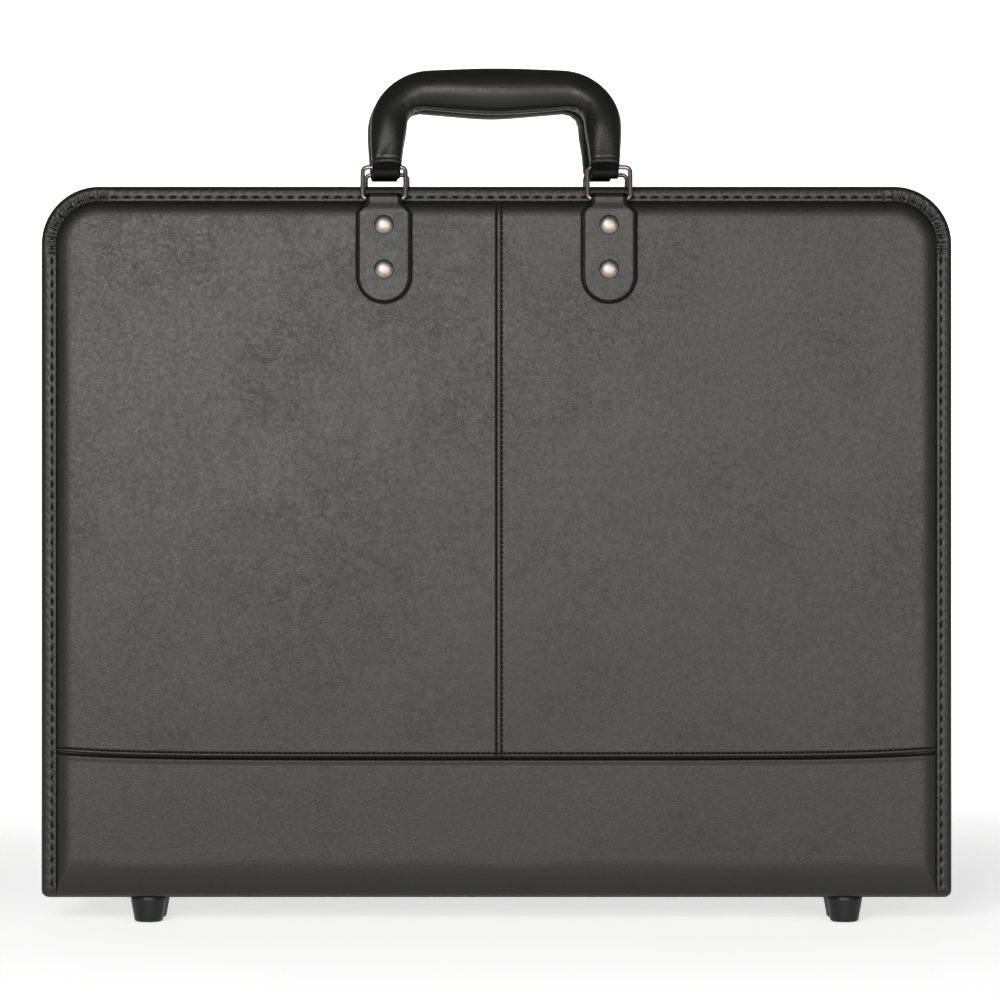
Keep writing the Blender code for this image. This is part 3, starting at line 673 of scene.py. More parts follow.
def panel_grid(label):
    """The face of one upper panel, from the middle seam out to the border and from the cross seam up."""
    s = sizes()
    r, hem = s.corner, SKIN_HEM
    out = spaced([(0, 0.3 * MM), (6 * MM, 3.5 * MM), (HALF_W - 0.045, 1.2 * MM),
                  (HALF_W - 0.024, 0.7 * MM), (HALF_W - hem, 0)])
    up = spaced([(SEAM_Z - 0.4 * MM, 0.3 * MM), (SEAM_Z + 6 * MM, 3.5 * MM), (TOP_Z - 0.045, 1.2 * MM),
                 (TOP_Z - 0.024, 0.7 * MM), (TOP_Z - hem, 0)])
    reach = np.full(len(up), HALF_W - hem)
    bend = up > TOP_Z - r
    reach[bend] = HALF_W - r + np.sqrt(np.maximum((r - hem) ** 2 - (up[bend] - (TOP_Z - r)) ** 2, 0))
    start = 0.2
    stretch = np.clip((out - start) / (HALF_W - hem - start), 0, None)
    x = np.where(out[None, :] > start, start + stretch[None, :] * (reach[:, None] - start), out[None, :])
    z = np.repeat(up[:, None], len(out), axis=1)
    depth = face_depth(x if label == "right" else -x, z)
    fade = smooth(1 - (z - SEAM_Z) / 0.03)
    z = z + seam_rise(x) * fade
    from_middle = x
    rise = pad_rise(x, z)
    if label == "right":
        lapped = 0.42 * MM * smooth(1 - (from_middle - 2.0 * MM) / (1.2 * MM))
        rolled = -0.8 * MM * (1 - smooth(from_middle / (0.9 * MM)))
        groove = -0.42 * MM * np.exp(-(((from_middle - 3.5 * MM) / (0.6 * MM)) ** 2))
        depth = depth + (lapped + rolled + groove) * rise
    else:
        depth = depth - 0.8 * MM * smooth(1 - from_middle / (1.2 * MM)) * rise
        x = -x
    from_seam = z - SEAM_Z - seam_rise(x)
    lapped = 0.45 * MM * smooth(1 - (from_seam - 1.3 * MM) / (1.0 * MM))
    rolled = -1.0 * MM * (1 - smooth((from_seam + 0.4 * MM) / (0.9 * MM)))
    groove = -0.55 * MM * np.exp(-(((from_seam - 2.1 * MM) / (0.5 * MM)) ** 2))
    depth = depth + (lapped + rolled + groove) * (0.25 + 0.75 * rise)
    grid = np.stack([x, depth, z], axis=2)
    return grid if label == "right" else grid[:, ::-1]


def band_grid():
    """The lower band: from under the cross seam, down the face, round the roll and in under the spine."""
    s = sizes()
    half = HALF_W - SKIN_HEM
    side = spaced([(0, 4 * MM), (HALF_W - 0.045, 1.2 * MM), (HALF_W - 0.024, 0.7 * MM), (half, 0)])
    across = np.concatenate([-side[:0:-1], side])
    roll_top = BASE_Z + s.roll
    under = spaced([(-9 * MM, 1.5 * MM), (0, 0)])[:-1]
    turn = np.linspace(math.pi / 2, 0, 22)
    face = spaced([(roll_top, 3.5 * MM), (SEAM_Z - 7 * MM, 0.3 * MM), (SEAM_Z + 0.2 * MM, 0)])[1:]
    rows = []
    for depth in under:
        rows.append((np.full(len(across), depth), np.full(len(across), BASE_Z + 0.1 * MM)))
    for a in turn:
        z = BASE_Z + 0.1 * MM + (s.roll - 0.1 * MM) * (1 - math.sin(a))
        side_depth = face_depth(across, np.full(len(across), roll_top))
        rolled = (CROWN + 0.2 * MM) * math.cos(a)
        rows.append((np.minimum(side_depth, rolled), np.full(len(across), z)))
    for level in face:
        z = np.full(len(across), level)
        depth = face_depth(across, z)
        from_seam = level - (SEAM_Z - 1.5 * MM)
        tucked = -3.6 * MM * smooth((from_seam + 1.35 * MM) / (2.0 * MM))
        lifted = 0.30 * MM * smooth(1 + (from_seam + 1.6 * MM) / (3.0 * MM))
        fade = smooth(1 + (level - SEAM_Z) / 0.03)
        depth = depth + (tucked + lifted) * (0.3 + 0.7 * pad_rise(across, z))
        rows.append((depth, z + seam_rise(across) * fade))
    return np.array([np.column_stack([across, depth, z]) for depth, z in rows])


def row_tree(name, numbers):
    """A geometry tree with a line, some numbers and a finish going in, and the tree's inputs."""
    tree = bpy.data.node_groups.new(name, "GeometryNodeTree")
    face = tree.interface
    face.new_socket("Line", in_out="INPUT", socket_type="NodeSocketGeometry")
    for label in numbers:
        face.new_socket(label, in_out="INPUT", socket_type="NodeSocketFloat")
    face.new_socket("Finish", in_out="INPUT", socket_type="NodeSocketMaterial")
    face.new_socket("Row", in_out="OUTPUT", socket_type="NodeSocketGeometry")
    return tree, add(tree, "NodeGroupInput").outputs


def copied_along(tree, given, shape, settings):
    """Copies of a shape along the tree's line, a pitch apart, turned with the line and given the finish."""
    curve = add(tree, "GeometryNodeMeshToCurve", links={"Mesh": given["Line"]})
    points = add(tree, "GeometryNodeResampleCurve", {"mode": "LENGTH"},
                 {"Curve": curve.outputs[0], "Length": given["Pitch"]})
    along = add(tree, "GeometryNodeInputTangent")
    turned = add(tree, "FunctionNodeAlignRotationToVector", settings, {"Vector": along.outputs[0]})
    copies = add(tree, "GeometryNodeInstanceOnPoints",
                 links={"Points": points.outputs[0], "Instance": shape, "Rotation": turned.outputs[0]})
    real = add(tree, "GeometryNodeRealizeInstances", links={"Geometry": copies.outputs[0]})
    painted = add(tree, "GeometryNodeSetMaterial",
                  links={"Geometry": real.outputs[0], "Material": given["Finish"]})
    add(tree, "NodeGroupOutput", links={"Row": painted.outputs[0]})


def stitch_tree():
    """Geometry nodes: a row of sewn stitches along a line, each a rounded length of thread."""
    tree, given = row_tree("stitch row", ("Pitch", "Length", "Thickness"))
    bead = add(tree, "GeometryNodeMeshUVSphere", Segments=8, Rings=6, Radius=0.5)
    shape = add(tree, "ShaderNodeCombineXYZ",
                links={"X": given["Length"], "Y": given["Thickness"], "Z": given["Thickness"]})
    sized = add(tree, "GeometryNodeTransform",
                links={"Geometry": bead.outputs["Mesh"], "Scale": shape.outputs[0]})
    copied_along(tree, given, sized.outputs[0], {"axis": "X"})
    return tree


def tooth_tree():
    """Geometry nodes: zip teeth along a line, each a neck with a wider head that reaches over the middle."""
    neck_share, head_share, head_shift = 0.72, 0.34, 0.40
    tree, given = row_tree("zip teeth", ("Pitch", "Reach", "Width", "Height"))
    long = maths(tree, "ABSOLUTE", given["Reach"])
    narrow = maths(tree, "MULTIPLY", given["Width"], neck_share)
    neck_size = add(tree, "ShaderNodeCombineXYZ", links={"X": narrow, "Y": long, "Z": given["Height"]})
    neck = add(tree, "GeometryNodeMeshCube", links={"Size": neck_size.outputs[0]})
    short = maths(tree, "MULTIPLY", long, head_share)
    head_size = add(tree, "ShaderNodeCombineXYZ",
                    links={"X": given["Width"], "Y": short, "Z": given["Height"]})
    head = add(tree, "GeometryNodeMeshCube", links={"Size": head_size.outputs[0]})
    offset = add(tree, "ShaderNodeCombineXYZ",
                 links={"Y": maths(tree, "MULTIPLY", given["Reach"], head_shift)})
    moved = add(tree, "GeometryNodeTransform",
                links={"Geometry": head.outputs["Mesh"], "Translation": offset.outputs[0]})
    joined = add(tree, "GeometryNodeMeshBoolean", {"operation": "UNION"})
    tree.links.new(neck.outputs["Mesh"], joined.inputs["Mesh 2"])
    tree.links.new(moved.outputs[0], joined.inputs["Mesh 2"])
    copied_along(tree, given, joined.outputs[0], {"axis": "X", "pivot_axis": "Y"})
    return tree


def grown(name, tree, lines, inputs):
    """Runs a tree on polylines and keeps the result as one plain mesh object."""
    points = []
    edges = []
    for line in lines:
        start = len(points)
        points.extend(map(tuple, line))
        edges.extend((start + i, start + i + 1) for i in range(len(line) - 1))
    mesh = bpy.data.meshes.new(name)
    mesh.from_pydata(points, edges, [])
    piece = bpy.data.objects.new(name, mesh)
    bpy.context.scene.collection.objects.link(piece)
    step = piece.modifiers.new(tree.name, "NODES")
    step.node_group = tree
    for item in tree.interface.items_tree:
        if item.in_out == "INPUT" and item.name in inputs:
            step[item.identifier] = inputs[item.name]
    applied(piece)
    piece.data.shade_smooth()
    return piece


def tree_named(name, make):
    return bpy.data.node_groups.get(name) or make()


def stitched(name, lines, side, pitch, length, thickness):
    """Sewn rows on a cover along lines given in cover terms."""
    inputs = {"Pitch": pitch, "Length": length, "Thickness": thickness, "Finish": material("thread")}
    tree = tree_named("stitch row", stitch_tree)
    return grown(name, tree, [placed(line, side) for line in lines], inputs)


# ---------------------------------------------------------------- covers
class CASE_OT_panels(bpy.types.Operator):
    """Leatherette panels of both covers, over their pads"""

    bl_idname = "case.panels"
    bl_label = "Padded panels"

    def execute(self, context):
        s = sizes()
        for side in SIDES:
            self.pad(side)
            for label in ("left", "right"):
                grid = panel_grid(label)
                node = f"{side}_skin_{other(label, side)}"
                piece = cover_sheet(f"{side}_panel_{other(label, side)}", grid, side, s.skin, "skin")
                settle(piece, f"{side}_cover", "leatherette", node)
            grid = band_grid()
            piece = cover_sheet(f"{side}_lower_band", grid, side, s.skin, "skin")
            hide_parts(f"{side}_skin_lower")
            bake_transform(piece)
        return {"FINISHED"}

    def pad(self, side):
        """The foam: the face's shape less the skin, with a flat back."""
        inset = 14 * MM
        low, high = BASE_Z + 12 * MM, TOP_Z - inset
        across = spaced([(-(HALF_W - inset), 1.5 * MM), (-(HALF_W - 0.03), 9 * MM), (HALF_W - 0.03, 1.5 * MM),
                         (HALF_W - inset, 0)])
        up = spaced([(low, 3 * MM), (low + 0.02, 9 * MM), (SEAM_Z - 8 * MM, 1 * MM),
                     (SEAM_Z + 4 * MM, 9 * MM), (high - 0.03, 1.5 * MM), (high, 0)])
        back_depth = 2.4 * MM
        roll_end = sizes().roll
        rows = []
        for z in up:
            reach = reach_at(z, inset)
            x = across * reach / (HALF_W - inset)
            roll = math.sqrt(max(0.0, 1 - max(0.0, (BASE_Z + roll_end - z) / roll_end) ** 2))
            tuck = 2.4 * MM * math.exp(-(((z - SEAM_Z + 0.8 * MM) / (2.4 * MM)) ** 2))
            depth = np.minimum(face_depth(x, np.full(len(x), z)), CROWN * roll) - 2.1 * MM - tuck
            rows.append(np.column_stack([x, np.maximum(depth, 2.9 * MM), np.full(len(x), z)]))
        face = np.array(rows)
        back = face.copy()
        back[:, :, 1] = back_depth
        count = face.shape[0] * face.shape[1]
        points, faces = shell(face, 0)
        points[count:] = back.reshape(-1, 3)
        piece = cover_solid(f"{side}_pad", points, faces, side, "foam")
        settle(piece, f"{side}_cover", "foam", f"{side}_padding")


STITCH_INSET = 7.0 * MM
STITCH_LOW = BASE_Z + 9 * MM
JUST_UNDER = 0.9999


class CASE_OT_binding(bpy.types.Operator):
    """Folded binding sewn round three edges of each cover"""

    bl_idname = "case.binding"
    bl_label = "Edge binding"

    def execute(self, context):
        for side in SIDES:
            points, faces = tube(self.sections())
            piece = cover_solid(f"{side}_edge_binding", points, faces, side, "trim")
            settle(piece, f"{side}_cover", "leatherette", f"{side}_binding")
            s = sizes()
            path = outline_path(STITCH_INSET, 1 * MM, STITCH_LOW)
            line = np.column_stack([path[:, 0], np.full(len(path), LIP_DEPTH - 0.62 * MM), path[:, 1]])
            _, total = run_along(STITCH_INSET, STITCH_LOW, 0.0, TOP_Z)
            pitch = total / round(total / s.border_pitch)
            row = stitched(f"{side}_border_stitches", [line], side, pitch * JUST_UNDER, 4.9 * MM,
                           s.border_thread)
            settle(row, f"{side}_cover", "leatherette")
        return {"FINISHED"}

    def sections(self):
        """Rings of points round the folded strip, at every station along the edge."""
        s = sizes()
        lip = LIP_DEPTH
        face_edge, soft_from = 1.14 * MM, 2.1
        rounding = 4.2 * MM
        open_end = 6.5 * MM
        top = [(10.0, lip - 1.15 * MM), (10.05, lip - 0.55 * MM), (9.8, lip - 0.14 * MM), (9.2, lip),
               (8.5, lip), (7.9, lip - 0.02 * MM), (7.45, lip - 0.08 * MM), (7.0, lip - 0.12 * MM),
               (6.55, lip - 0.10 * MM), (6.1, lip - 0.08 * MM), (5.4, lip - 0.11 * MM),
               (4.4, lip - 0.22 * MM),
               (3.2, lip - 0.42 * MM), (2.2, lip - 0.70 * MM), (1.3, lip - 1.25 * MM), (0.6, lip - 2.0 * MM),
               (0.15, lip - 2.7 * MM), (0.0, lip - 3.3 * MM), (0.0, 1.4 * MM), (0.1, 0.7 * MM),
               (0.45, 0.3 * MM),
               (0.9, 0.35 * MM), (1.1, 0.9 * MM), (1.15, lip - 2.7 * MM), (1.9, lip - 1.9 * MM),
               (3.2, lip - 1.5 * MM), (6.0, lip - 1.2 * MM)]
        path = outline_path(0.0, 0.75 * MM, BASE_Z + 0.3 * MM)
        _, total = run_along(STITCH_INSET, STITCH_LOW, 0.0, TOP_Z)
        pitch = total / round(total / s.border_pitch)
        rings = []
        r = s.corner
        for x, z, run in path:
            sx, sz = math.copysign(1, x), 1.0
            cx = max(abs(x), HALF_W - r) - (HALF_W - r)
            cz = max(z, TOP_Z - r) - (TOP_Z - r)
            inward = -np.array([sx * cx, sz * cz]) / max(math.hypot(cx, cz), 1e-9)
            if z < TOP_Z - r:
                inward = np.array([-sx, 0.0])
            bend = corner_share(x, z)
            sewn, _ = run_along(STITCH_INSET, STITCH_LOW, x, z)
            beat = (0.5 + 0.5 * math.cos(math.tau * sewn / pitch)) ** 0.7
            above = max(0.0, (BASE_Z + open_end - z) / open_end)
            turned = math.sqrt(max(0.0, 1 - above**2))
            short = max(0.0, (BASE_Z + rounding - z) / rounding)
            tuck = rounding * (1 - math.sqrt(max(0.0, 1 - short**2)))
            ring = []
            for inset, depth in top:
                in_mm = inset
                inset = inset * MM
                wave = 0.0
                if depth > lip - face_edge and in_mm > soft_from:
                    dip = math.exp(-(((in_mm - 7.0) / 0.65) ** 2))
                    wave = -0.75 * MM * dip * beat
                    pucker = abs(math.sin(math.pi * run / (4.4 * MM) + 0.9 * math.sin(run * 410))) - 1
                    fold = smooth((in_mm - 2.0) / 4.0)
                    wave += 1.5 * MM * bend * pucker * fold
                    wave += 0.07 * MM * math.sin(run * 900 + in_mm) + 0.05 * MM * math.sin(run * 2100 - in_mm)
                depth = (depth + wave) * turned + 0.2 * MM * (1 - turned)
                inset = inset + tuck * max(0.0, 1 - in_mm / 6)
                ring.append((x + inward[0] * inset, depth, z + inward[1] * inset))
            rings.append(ring)
        return rings


class CASE_OT_seams(bpy.types.Operator):
    """Sewn rows along the middle seam and the cross seam"""

    bl_idname = "case.seams"
    bl_label = "Panel stitching"

    def execute(self, context):
        s = sizes()
        for side in SIDES:
            up = np.arange(SEAM_Z + 3.5 * MM, TOP_Z - s.border - 0.6 * MM, 1.5 * MM)
            x = np.full(len(up), 3.5 * MM)
            middle = np.column_stack([x, face_depth(x, up) - 0.20 * MM, up])
            half = HALF_W - s.border - 0.8 * MM
            across = np.linspace(-half, half, 420)
            level = np.full(len(across), SEAM_Z + 2.1 * MM)
            lift = seam_rise(across)
            depth = face_depth(across, level + lift) - 0.25 * MM
            cross = np.column_stack([across, depth, level + lift])
            piece = stitched(f"{side}_seam_stitches", [middle, cross], side, s.seam_pitch, 2.5 * MM,
                             s.seam_thread)
            settle(piece, f"{side}_cover", "leatherette")
        return {"FINISHED"}


# ---------------------------------------------------------------- tabs, rings, rivets
def strap(path, half_widths, thickness, edge, end=None):
    """A strap along a path in the depth-z plane, rounded over a distance from its outline and painted there.

    Returns points, faces and, for each face, whether it is painted. end gives the height of the middle of a
    round end and its radius, which the rounding follows too."""
    path = np.array(path)
    along = np.gradient(path, axis=0)
    along /= np.linalg.norm(along, axis=1, keepdims=True)
    normals = np.column_stack([along[:, 1], -along[:, 0]])
    rings = []
    fullness = []
    for point, normal, half in zip(path, normals, half_widths):
        half = max(half, 0.05 * MM)
        soft = min(edge, half * 0.5)
        near = [-half + soft * t for t in (0, 0.06, 0.2, 0.45, 0.75, 1.0)]
        spread = near + list(np.linspace(-half + soft, half - soft, 39)[1:-1]) + [-x for x in reversed(near)]
        full = []
        for x in spread:
            clear = half - abs(x)
            if end and point[1] < end[0]:
                clear = min(clear, end[1] - math.hypot(x, point[1] - end[0]))
            share = min(max(clear / edge, 0.0), 1.0)
            full.append(math.sqrt(1 - (1 - share) ** 2))
        top = [(x, thickness / 2 * f) for x, f in zip(spread, full)]
        below = [(x, -h) for x, h in reversed(top[1:-1])]
        rings.append([(x, point[0] + normal[0] * h, point[1] + normal[1] * h) for x, h in top + below])
        fullness.append(full + full[-2:0:-1])
    points, faces = tube(rings)
    fullness = np.array(fullness).ravel()
    painted = [float(np.mean(fullness[list(face)])) < 0.985 for face in faces]
    return points, faces, painted


def painted_edges(piece, painted):
    """Gives the marked faces the second material."""
    piece.data.polygons.foreach_set("material_index", [int(mark) for mark in painted])
    return piece


class CASE_OT_tabs(bpy.types.Operator):
    """Handle tabs: a strap folded over the ring, its two layers riveted to the cover"""

    bl_idname = "case.tabs"
    bl_label = "Handle tabs"

    def execute(self, context):
        for side in SIDES:
            for label, sign in (("left", -1), ("right", 1)):
                points, faces, painted = self.shape()
                points = points + np.array([sign * TAB_X, 0, 0])
                end = other(label, side)
                piece = cover_solid(f"{side}_strap_tab_{end}", points, faces, side, "trim", "edge")
                painted_edges(piece, painted)
                settle(piece, f"{side}_cover", "leatherette", f"{side}_tab_{end}")
        return {"FINISHED"}

    def shape(self):
        t = sizes().strap
        inner = EYE.y - FOLD_Y - t / 2 - 0.02 * MM
        outer = EYE.y - FOLD_Y + t / 2 + 0.02 * MM
        # The edge paint runs over the whole 2.9 mm rounding, wider than the cut edge: partly real edge paint,
        # partly painted shadow round the tab
        reach = edge = 2.9 * MM
        low = TAB_LOW.z
        neck = EYE.z - 7.5 * MM
        half = (TAB_HIGH.x - TAB_LOW.x) / 2
        rise = spaced([(low, 0.04 * MM), (low + 0.3 * MM, 0.2 * MM), (low + 3 * MM, 0.4 * MM),
                       (low + 9 * MM, 1 * MM), (low + half, 3 * MM), (neck - 10 * MM, 0.7 * MM), (neck, 0)])
        path = [(inner, z) for z in rise]
        centre = EYE.y - FOLD_Y
        for i in range(1, 6):
            share = smooth(i / 6)
            path.append((inner - (reach - t / 2) * share, neck + (EYE.z - 1.0 * MM - neck) * i / 6))
        for i in range(17):
            a = math.radians(200 - 220 * i / 16)
            path.append((centre + reach * math.cos(a), EYE.z + reach * math.sin(a)))
        for i in range(5, 0, -1):
            share = smooth(i / 6)
            path.append((outer + (reach - t / 2) * share, neck + (EYE.z - 1.0 * MM - neck) * i / 6))
        path += [(outer, z) for z in rise[::-1]]
        widths = [self.half_width(z, low, half) for _, z in path]
        return strap(path, widths, t, edge, (low + half, half))

    def half_width(self, z, low, half):
        """Half the tab's width at a height: round end, straight sides, sloping shoulders, neck."""
        neck = 11.85 * MM
        top = TAB_HIGH.z
        if z < low + half:
            up = z - low
            return math.sqrt(max(half**2 - (half - up) ** 2, 0))
        shoulder = smooth((z - (top - 14.2 * MM)) / (8.5 * MM))
        return half + (neck - half) * shoulder


class CASE_OT_rivets(bpy.types.Operator):
    """Domed rivets of the handle tabs"""

    bl_idname = "case.rivets"
    bl_label = "Rivets"

    def execute(self, context):
        for side in SIDES:
            for end in ("left", "right"):
                for level in ("upper", "lower"):
                    node = f"{side}_rivet_{level}_{end}"
                    low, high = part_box(node)
                    self.rivet(side, node, (low + high) / 2, high.x - low.x, high.y - low.y)
        return {"FINISHED"}

    def rivet(self, side, node, middle, width, length):
        r = width / 2
        rim, dome = 0.4 * MM, 2.9 * MM
        seat = CROWN + 4.0 * MM
        profile = [(3.6 * MM, -0.9 * MM), (3.6 * MM, -0.2 * MM), (2.0 * MM, -0.15 * MM), (2.0 * MM, seat)]
        profile += [(r - 0.5 * MM, seat), (r, seat + 0.25 * MM)]
        for i in range(1, 12):
            a = math.pi / 2 * i / 12
            profile.append((r * math.cos(a) ** 0.92, seat + rim + dome * math.sin(a)))
        profile.append((0.05 * MM, seat + rim + dome))
        way = outward(side)
        turn = Matrix.Rotation(-way * math.pi / 2, 4, "X")
        place = Matrix.Translation((middle.x, way * FOLD_Y, middle.z)) @ turn
        piece = lathe(f"{node}_cap", profile, 48, place, "nickel", sharp=50)
        settle(piece, f"{side}_cover", "nickel", node)


def round_ring(x, z, out, radius, count):
    """A circle of points about a place on a line that lies in the x-z plane; out is square to the line."""
    ring = []
    for k in range(count):
        a = math.tau * k / count
        reach = radius * math.cos(a)
        ring.append((x + out[0] * reach, radius * math.sin(a), z + out[1] * reach))
    return ring


def leaning(side, point):
    """The matrix that puts a shape modelled upright at the origin on a leaning ring or handle axis."""
    way = outward(side)
    turn = Matrix.Rotation(way * LEAN, 4, "X")
    return Matrix.Translation((0, way * point.y, point.z)) @ turn


class CASE_OT_rings(bpy.types.Operator):
    """Rectangular wire rings between the tabs and the handles"""

    bl_idname = "case.rings"
    bl_label = "Rings"

    def execute(self, context):
        for side in SIDES:
            for label in ("left", "right"):
                node = f"{side}_ring_{label}"
                low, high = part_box(node)
                points, faces = tube(self.sections((high.x - low.x) / 2), closed=True)
                piece = built(f"{side}_wire_ring_{label}", points.tolist(), faces, "nickel")
                place = Matrix.Translation(((low.x + high.x) / 2, 0, 0)) @ leaning(side, EYE)
                piece.data.transform(place)
                settle(piece, f"{side}_rings", "nickel", node)
        return {"FINISHED"}

    def sections(self, half):
        wire = 1.5 * MM
        half = half - wire
        r = 3.4 * MM
        side, top = half - r, RING_H - r
        corners = ((side, r, -90), (side, top, 0), (-side, top, 90), (-side, r, 180))
        path = []
        for x, z, start in corners:
            for i in range(9):
                a = math.radians(start + 90 * i / 8)
                path.append((x + r * math.cos(a), z + r * math.sin(a), a))
        dense = []
        for here, there in zip(path, path[1:] + path[:1]):
            steps = max(1, round(math.dist(here[:2], there[:2]) / (3 * MM)))
            for k in range(steps):
                t = k / steps
                dense.append((here[0] + (there[0] - here[0]) * t, here[1] + (there[1] - here[1]) * t))
        rings = []
        for i, (x, z) in enumerate(dense):
            before, after = Vector(dense[i - 1]), Vector(dense[(i + 1) % len(dense)])
            along = (after - before).normalized()
            rings.append(round_ring(x, z, (along.y, -along.x), wire, 16))
        return rings


# ---------------------------------------------------------------- handles
GRIP_MIDDLE = 54.6 * MM
LEG_X = 71.5 * MM
BEND_R = 26.5 * MM
GRIP_END = 1.1 * MM
LEG_SPLAY = 1.2 * MM
GRIP_BORE = 5.6 * MM
# Half widths and thicknesses in mm: a leg's end, the leg, and how much more the middle has.
END_WIDTH, END_THICK, LEG_BODY, MIDDLE_MORE = 9.75, 7.2, 12.3, 3.0


def grip_line(step):
    """The grip's centreline from left to right: x, z, the run from the nearer end and which end that is."""
    corner_z = GRIP_MIDDLE - BEND_R
    leg = corner_z - GRIP_END
    arc = BEND_R * math.pi / 2
    flat = LEG_X - LEG_SPLAY - BEND_R
    half = leg + arc + flat
    rows = []
    for run in np.linspace(0, 2 * half, round(2 * half / step) + 1):
        mirrored = run > half
        t = 2 * half - run if mirrored else run
        if t < leg:
            x, z = -LEG_X + LEG_SPLAY * (t / leg) ** 2, GRIP_END + t
        elif t < leg + arc:
            a = math.pi - (t - leg) / BEND_R
            x = -LEG_X + LEG_SPLAY + BEND_R + BEND_R * math.cos(a)
            z = corner_z + BEND_R * math.sin(a)
        else:
            out = t - leg - arc
            x = -LEG_X + LEG_SPLAY + BEND_R + out
            z = GRIP_MIDDLE - 0.9 * MM * smooth(out / flat)
        rows.append((-x if mirrored else x, z, t, 1 if mirrored else -1))
    return np.array(rows), leg, arc, flat


class CASE_OT_grips(bpy.types.Operator):
    """Padded grips: leatherette drawn round a core, gathered at its bends, with a seam inside"""

    bl_idname = "case.grips"
    bl_label = "Padded grips"

    def execute(self, context):
        for side in SIDES:
            low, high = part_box(f"{side}_handle_grip")
            shift = (low.x + high.x) / 2 - (1.4 * MM if side == "back" else 0)
            place = Matrix.Translation((shift, 0, 0)) @ leaning(side, BAR)
            piece = built(f"{side}_padded_grip", *self.surface(side), "grip")
            piece.data.transform(place)
            settle(piece, f"{side}_handle", "leatherette", f"{side}_handle_grip")
            self.straps(side, place)
        return {"FINISHED"}

    def surface(self, side):
        rows, leg, arc, flat = grip_line(0.9 * MM)
        count = 56
        path = rows[:, :2]
        along = np.gradient(path, axis=0)
        along /= np.linalg.norm(along, axis=1, keepdims=True)
        out = np.column_stack([-along[:, 1], along[:, 0]])
        way = outward(side)
        rings = []
        for (x, z, run, end), away in zip(rows, out):
            level = smooth((run - leg - arc * 0.4) / (flat + arc * 0.6))
            body = LEG_BODY + MIDDLE_MORE * level
            collar = smooth(run / (leg * 1.15))
            width = (END_WIDTH + (body - END_WIDTH) * collar) * MM
            thick = (END_THICK + (body - 0.4 - END_THICK) * collar) * MM
            pinch = -0.45 * MM * math.exp(-(((run - 2.9 * MM) / (0.8 * MM)) ** 2))
            bent = math.exp(-(((run - leg - arc * 0.5) / (arc * 0.33)) ** 2))
            ring = []
            for k in range(count):
                a = math.tau * k / count
                c, sn = math.cos(a), math.sin(a)
                r_in, r_out = width * c, thick * sn
                box = 1 + 0.20 * (1 - collar) * math.sin(2 * a) ** 2
                r_in, r_out = r_in * box, r_out * box
                inner = max(0.0, -c)
                gather = -0.45 * MM * bent * inner**2 * (0.5 + 0.5 * math.sin(run / (1.35 * MM)))
                flatten = -0.9 * MM * bent * inner**3
                seam = -0.55 * MM * math.exp(-(((a - math.pi) / 0.09) ** 2))
                pleat_at = 0.9 + 1.5 * run / (26 * MM)
                gap = abs(((a * -way - pleat_at * end + math.pi) % math.tau) - math.pi)
                pleat = -0.55 * MM * math.exp(-((gap / 0.12) ** 2)) * smooth(1 - run / (30 * MM))
                lumpy = 0.12 * MM * math.sin(3 * a + run * 90) * math.sin(run * 60 + 1.3)
                grow = gather + flatten + seam + pleat + lumpy + pinch
                lip = -0.8 * MM * smooth(1 - run / (1.2 * MM))
                length = math.hypot(r_in, r_out)
                scale = (length + grow + lip) / length
                ring.append((x + away[0] * r_in * scale, r_out * scale, z + away[1] * r_in * scale))
            rings.append(ring)
        grid = np.array(rings)
        inner = np.array([round_ring(x, z, away, GRIP_BORE, count) for (x, z, _, _), away in zip(rows, out)])
        n = len(rows) * count
        faces = grid_faces(len(rows), count, wrap_columns=True)
        faces += grid_faces(len(rows), count, wrap_columns=True, start=n)
        for base in (0, (len(rows) - 1) * count):
            for k in range(count):
                m = (k + 1) % count
                faces.append((base + k, base + m, n + base + m, n + base + k))
        points = np.concatenate([grid.reshape(-1, 3), inner.reshape(-1, 3)])
        return points.tolist(), faces

    def straps(self, side, place):
        """The core strap through the grip, seen as the lug at each end that hangs on its ring. It is finished
        all over in the near-black edge paint as painted shade, for the lug lies in shade under the grip.
        """
        points, faces = [], []
        off, inside = 2.75 * MM, 26 * MM
        drop = -3.9 * MM if side == "front" else -0.4 * MM
        level = np.linspace(inside, drop + 0.3 * MM, 24)
        path = [(-off, z) for z in level]
        for i in range(1, 12):
            a = math.pi + math.pi * i / 12
            path.append((off * math.cos(a), drop + off * 1.05 * math.sin(a)))
        path += [(off, z) for z in level[::-1]]
        widths = []
        for _, z in path:
            below = min(1.0, max(0.0, (drop - 0.3 * MM - z) / (3.8 * MM)))
            rounded = 1.6 * MM * (1 - math.sqrt(max(0.0, 1 - below**2)))
            widths.append((9.1 * MM if z < 1.9 * MM else 6.0 * MM) - rounded)
        for sign in (-1, 1):
            one, quads, _ = strap(path, widths, 2.4 * MM, 1.0 * MM)
            count = sum(len(group) for group in points)
            points.append(one + np.array([sign * LEG_X, 0, 0]))
            faces += [tuple(i + count for i in face) for face in quads]
        # Painted shade: the whole strap takes the near-black edge paint so that the lugs look shaded
        piece = built(f"{side}_handle_straps", np.concatenate(points).tolist(), faces, "edge")
        piece.data.transform(place)
        settle(piece, f"{side}_handle", "leatherette", f"{side}_handle_core")


# ---------------------------------------------------------------- zip, lining, spine
def wall_band(profile, step, low):
    """Rings of points for a strip that runs round the cover, from (inset, depth) points."""
    stations = [outline_path(inset, step, low, sizes().wall_corner) for inset, _ in profile]
    count = min(len(path) for path in stations)
    rings = []
    for i in range(count):
        ring = []
        for path, (_, depth) in zip(stations, profile):
            at = path[round(i * (len(path) - 1) / (count - 1))]
            ring.append((at[0], depth, at[1]))
        rings.append(ring)
    return rings


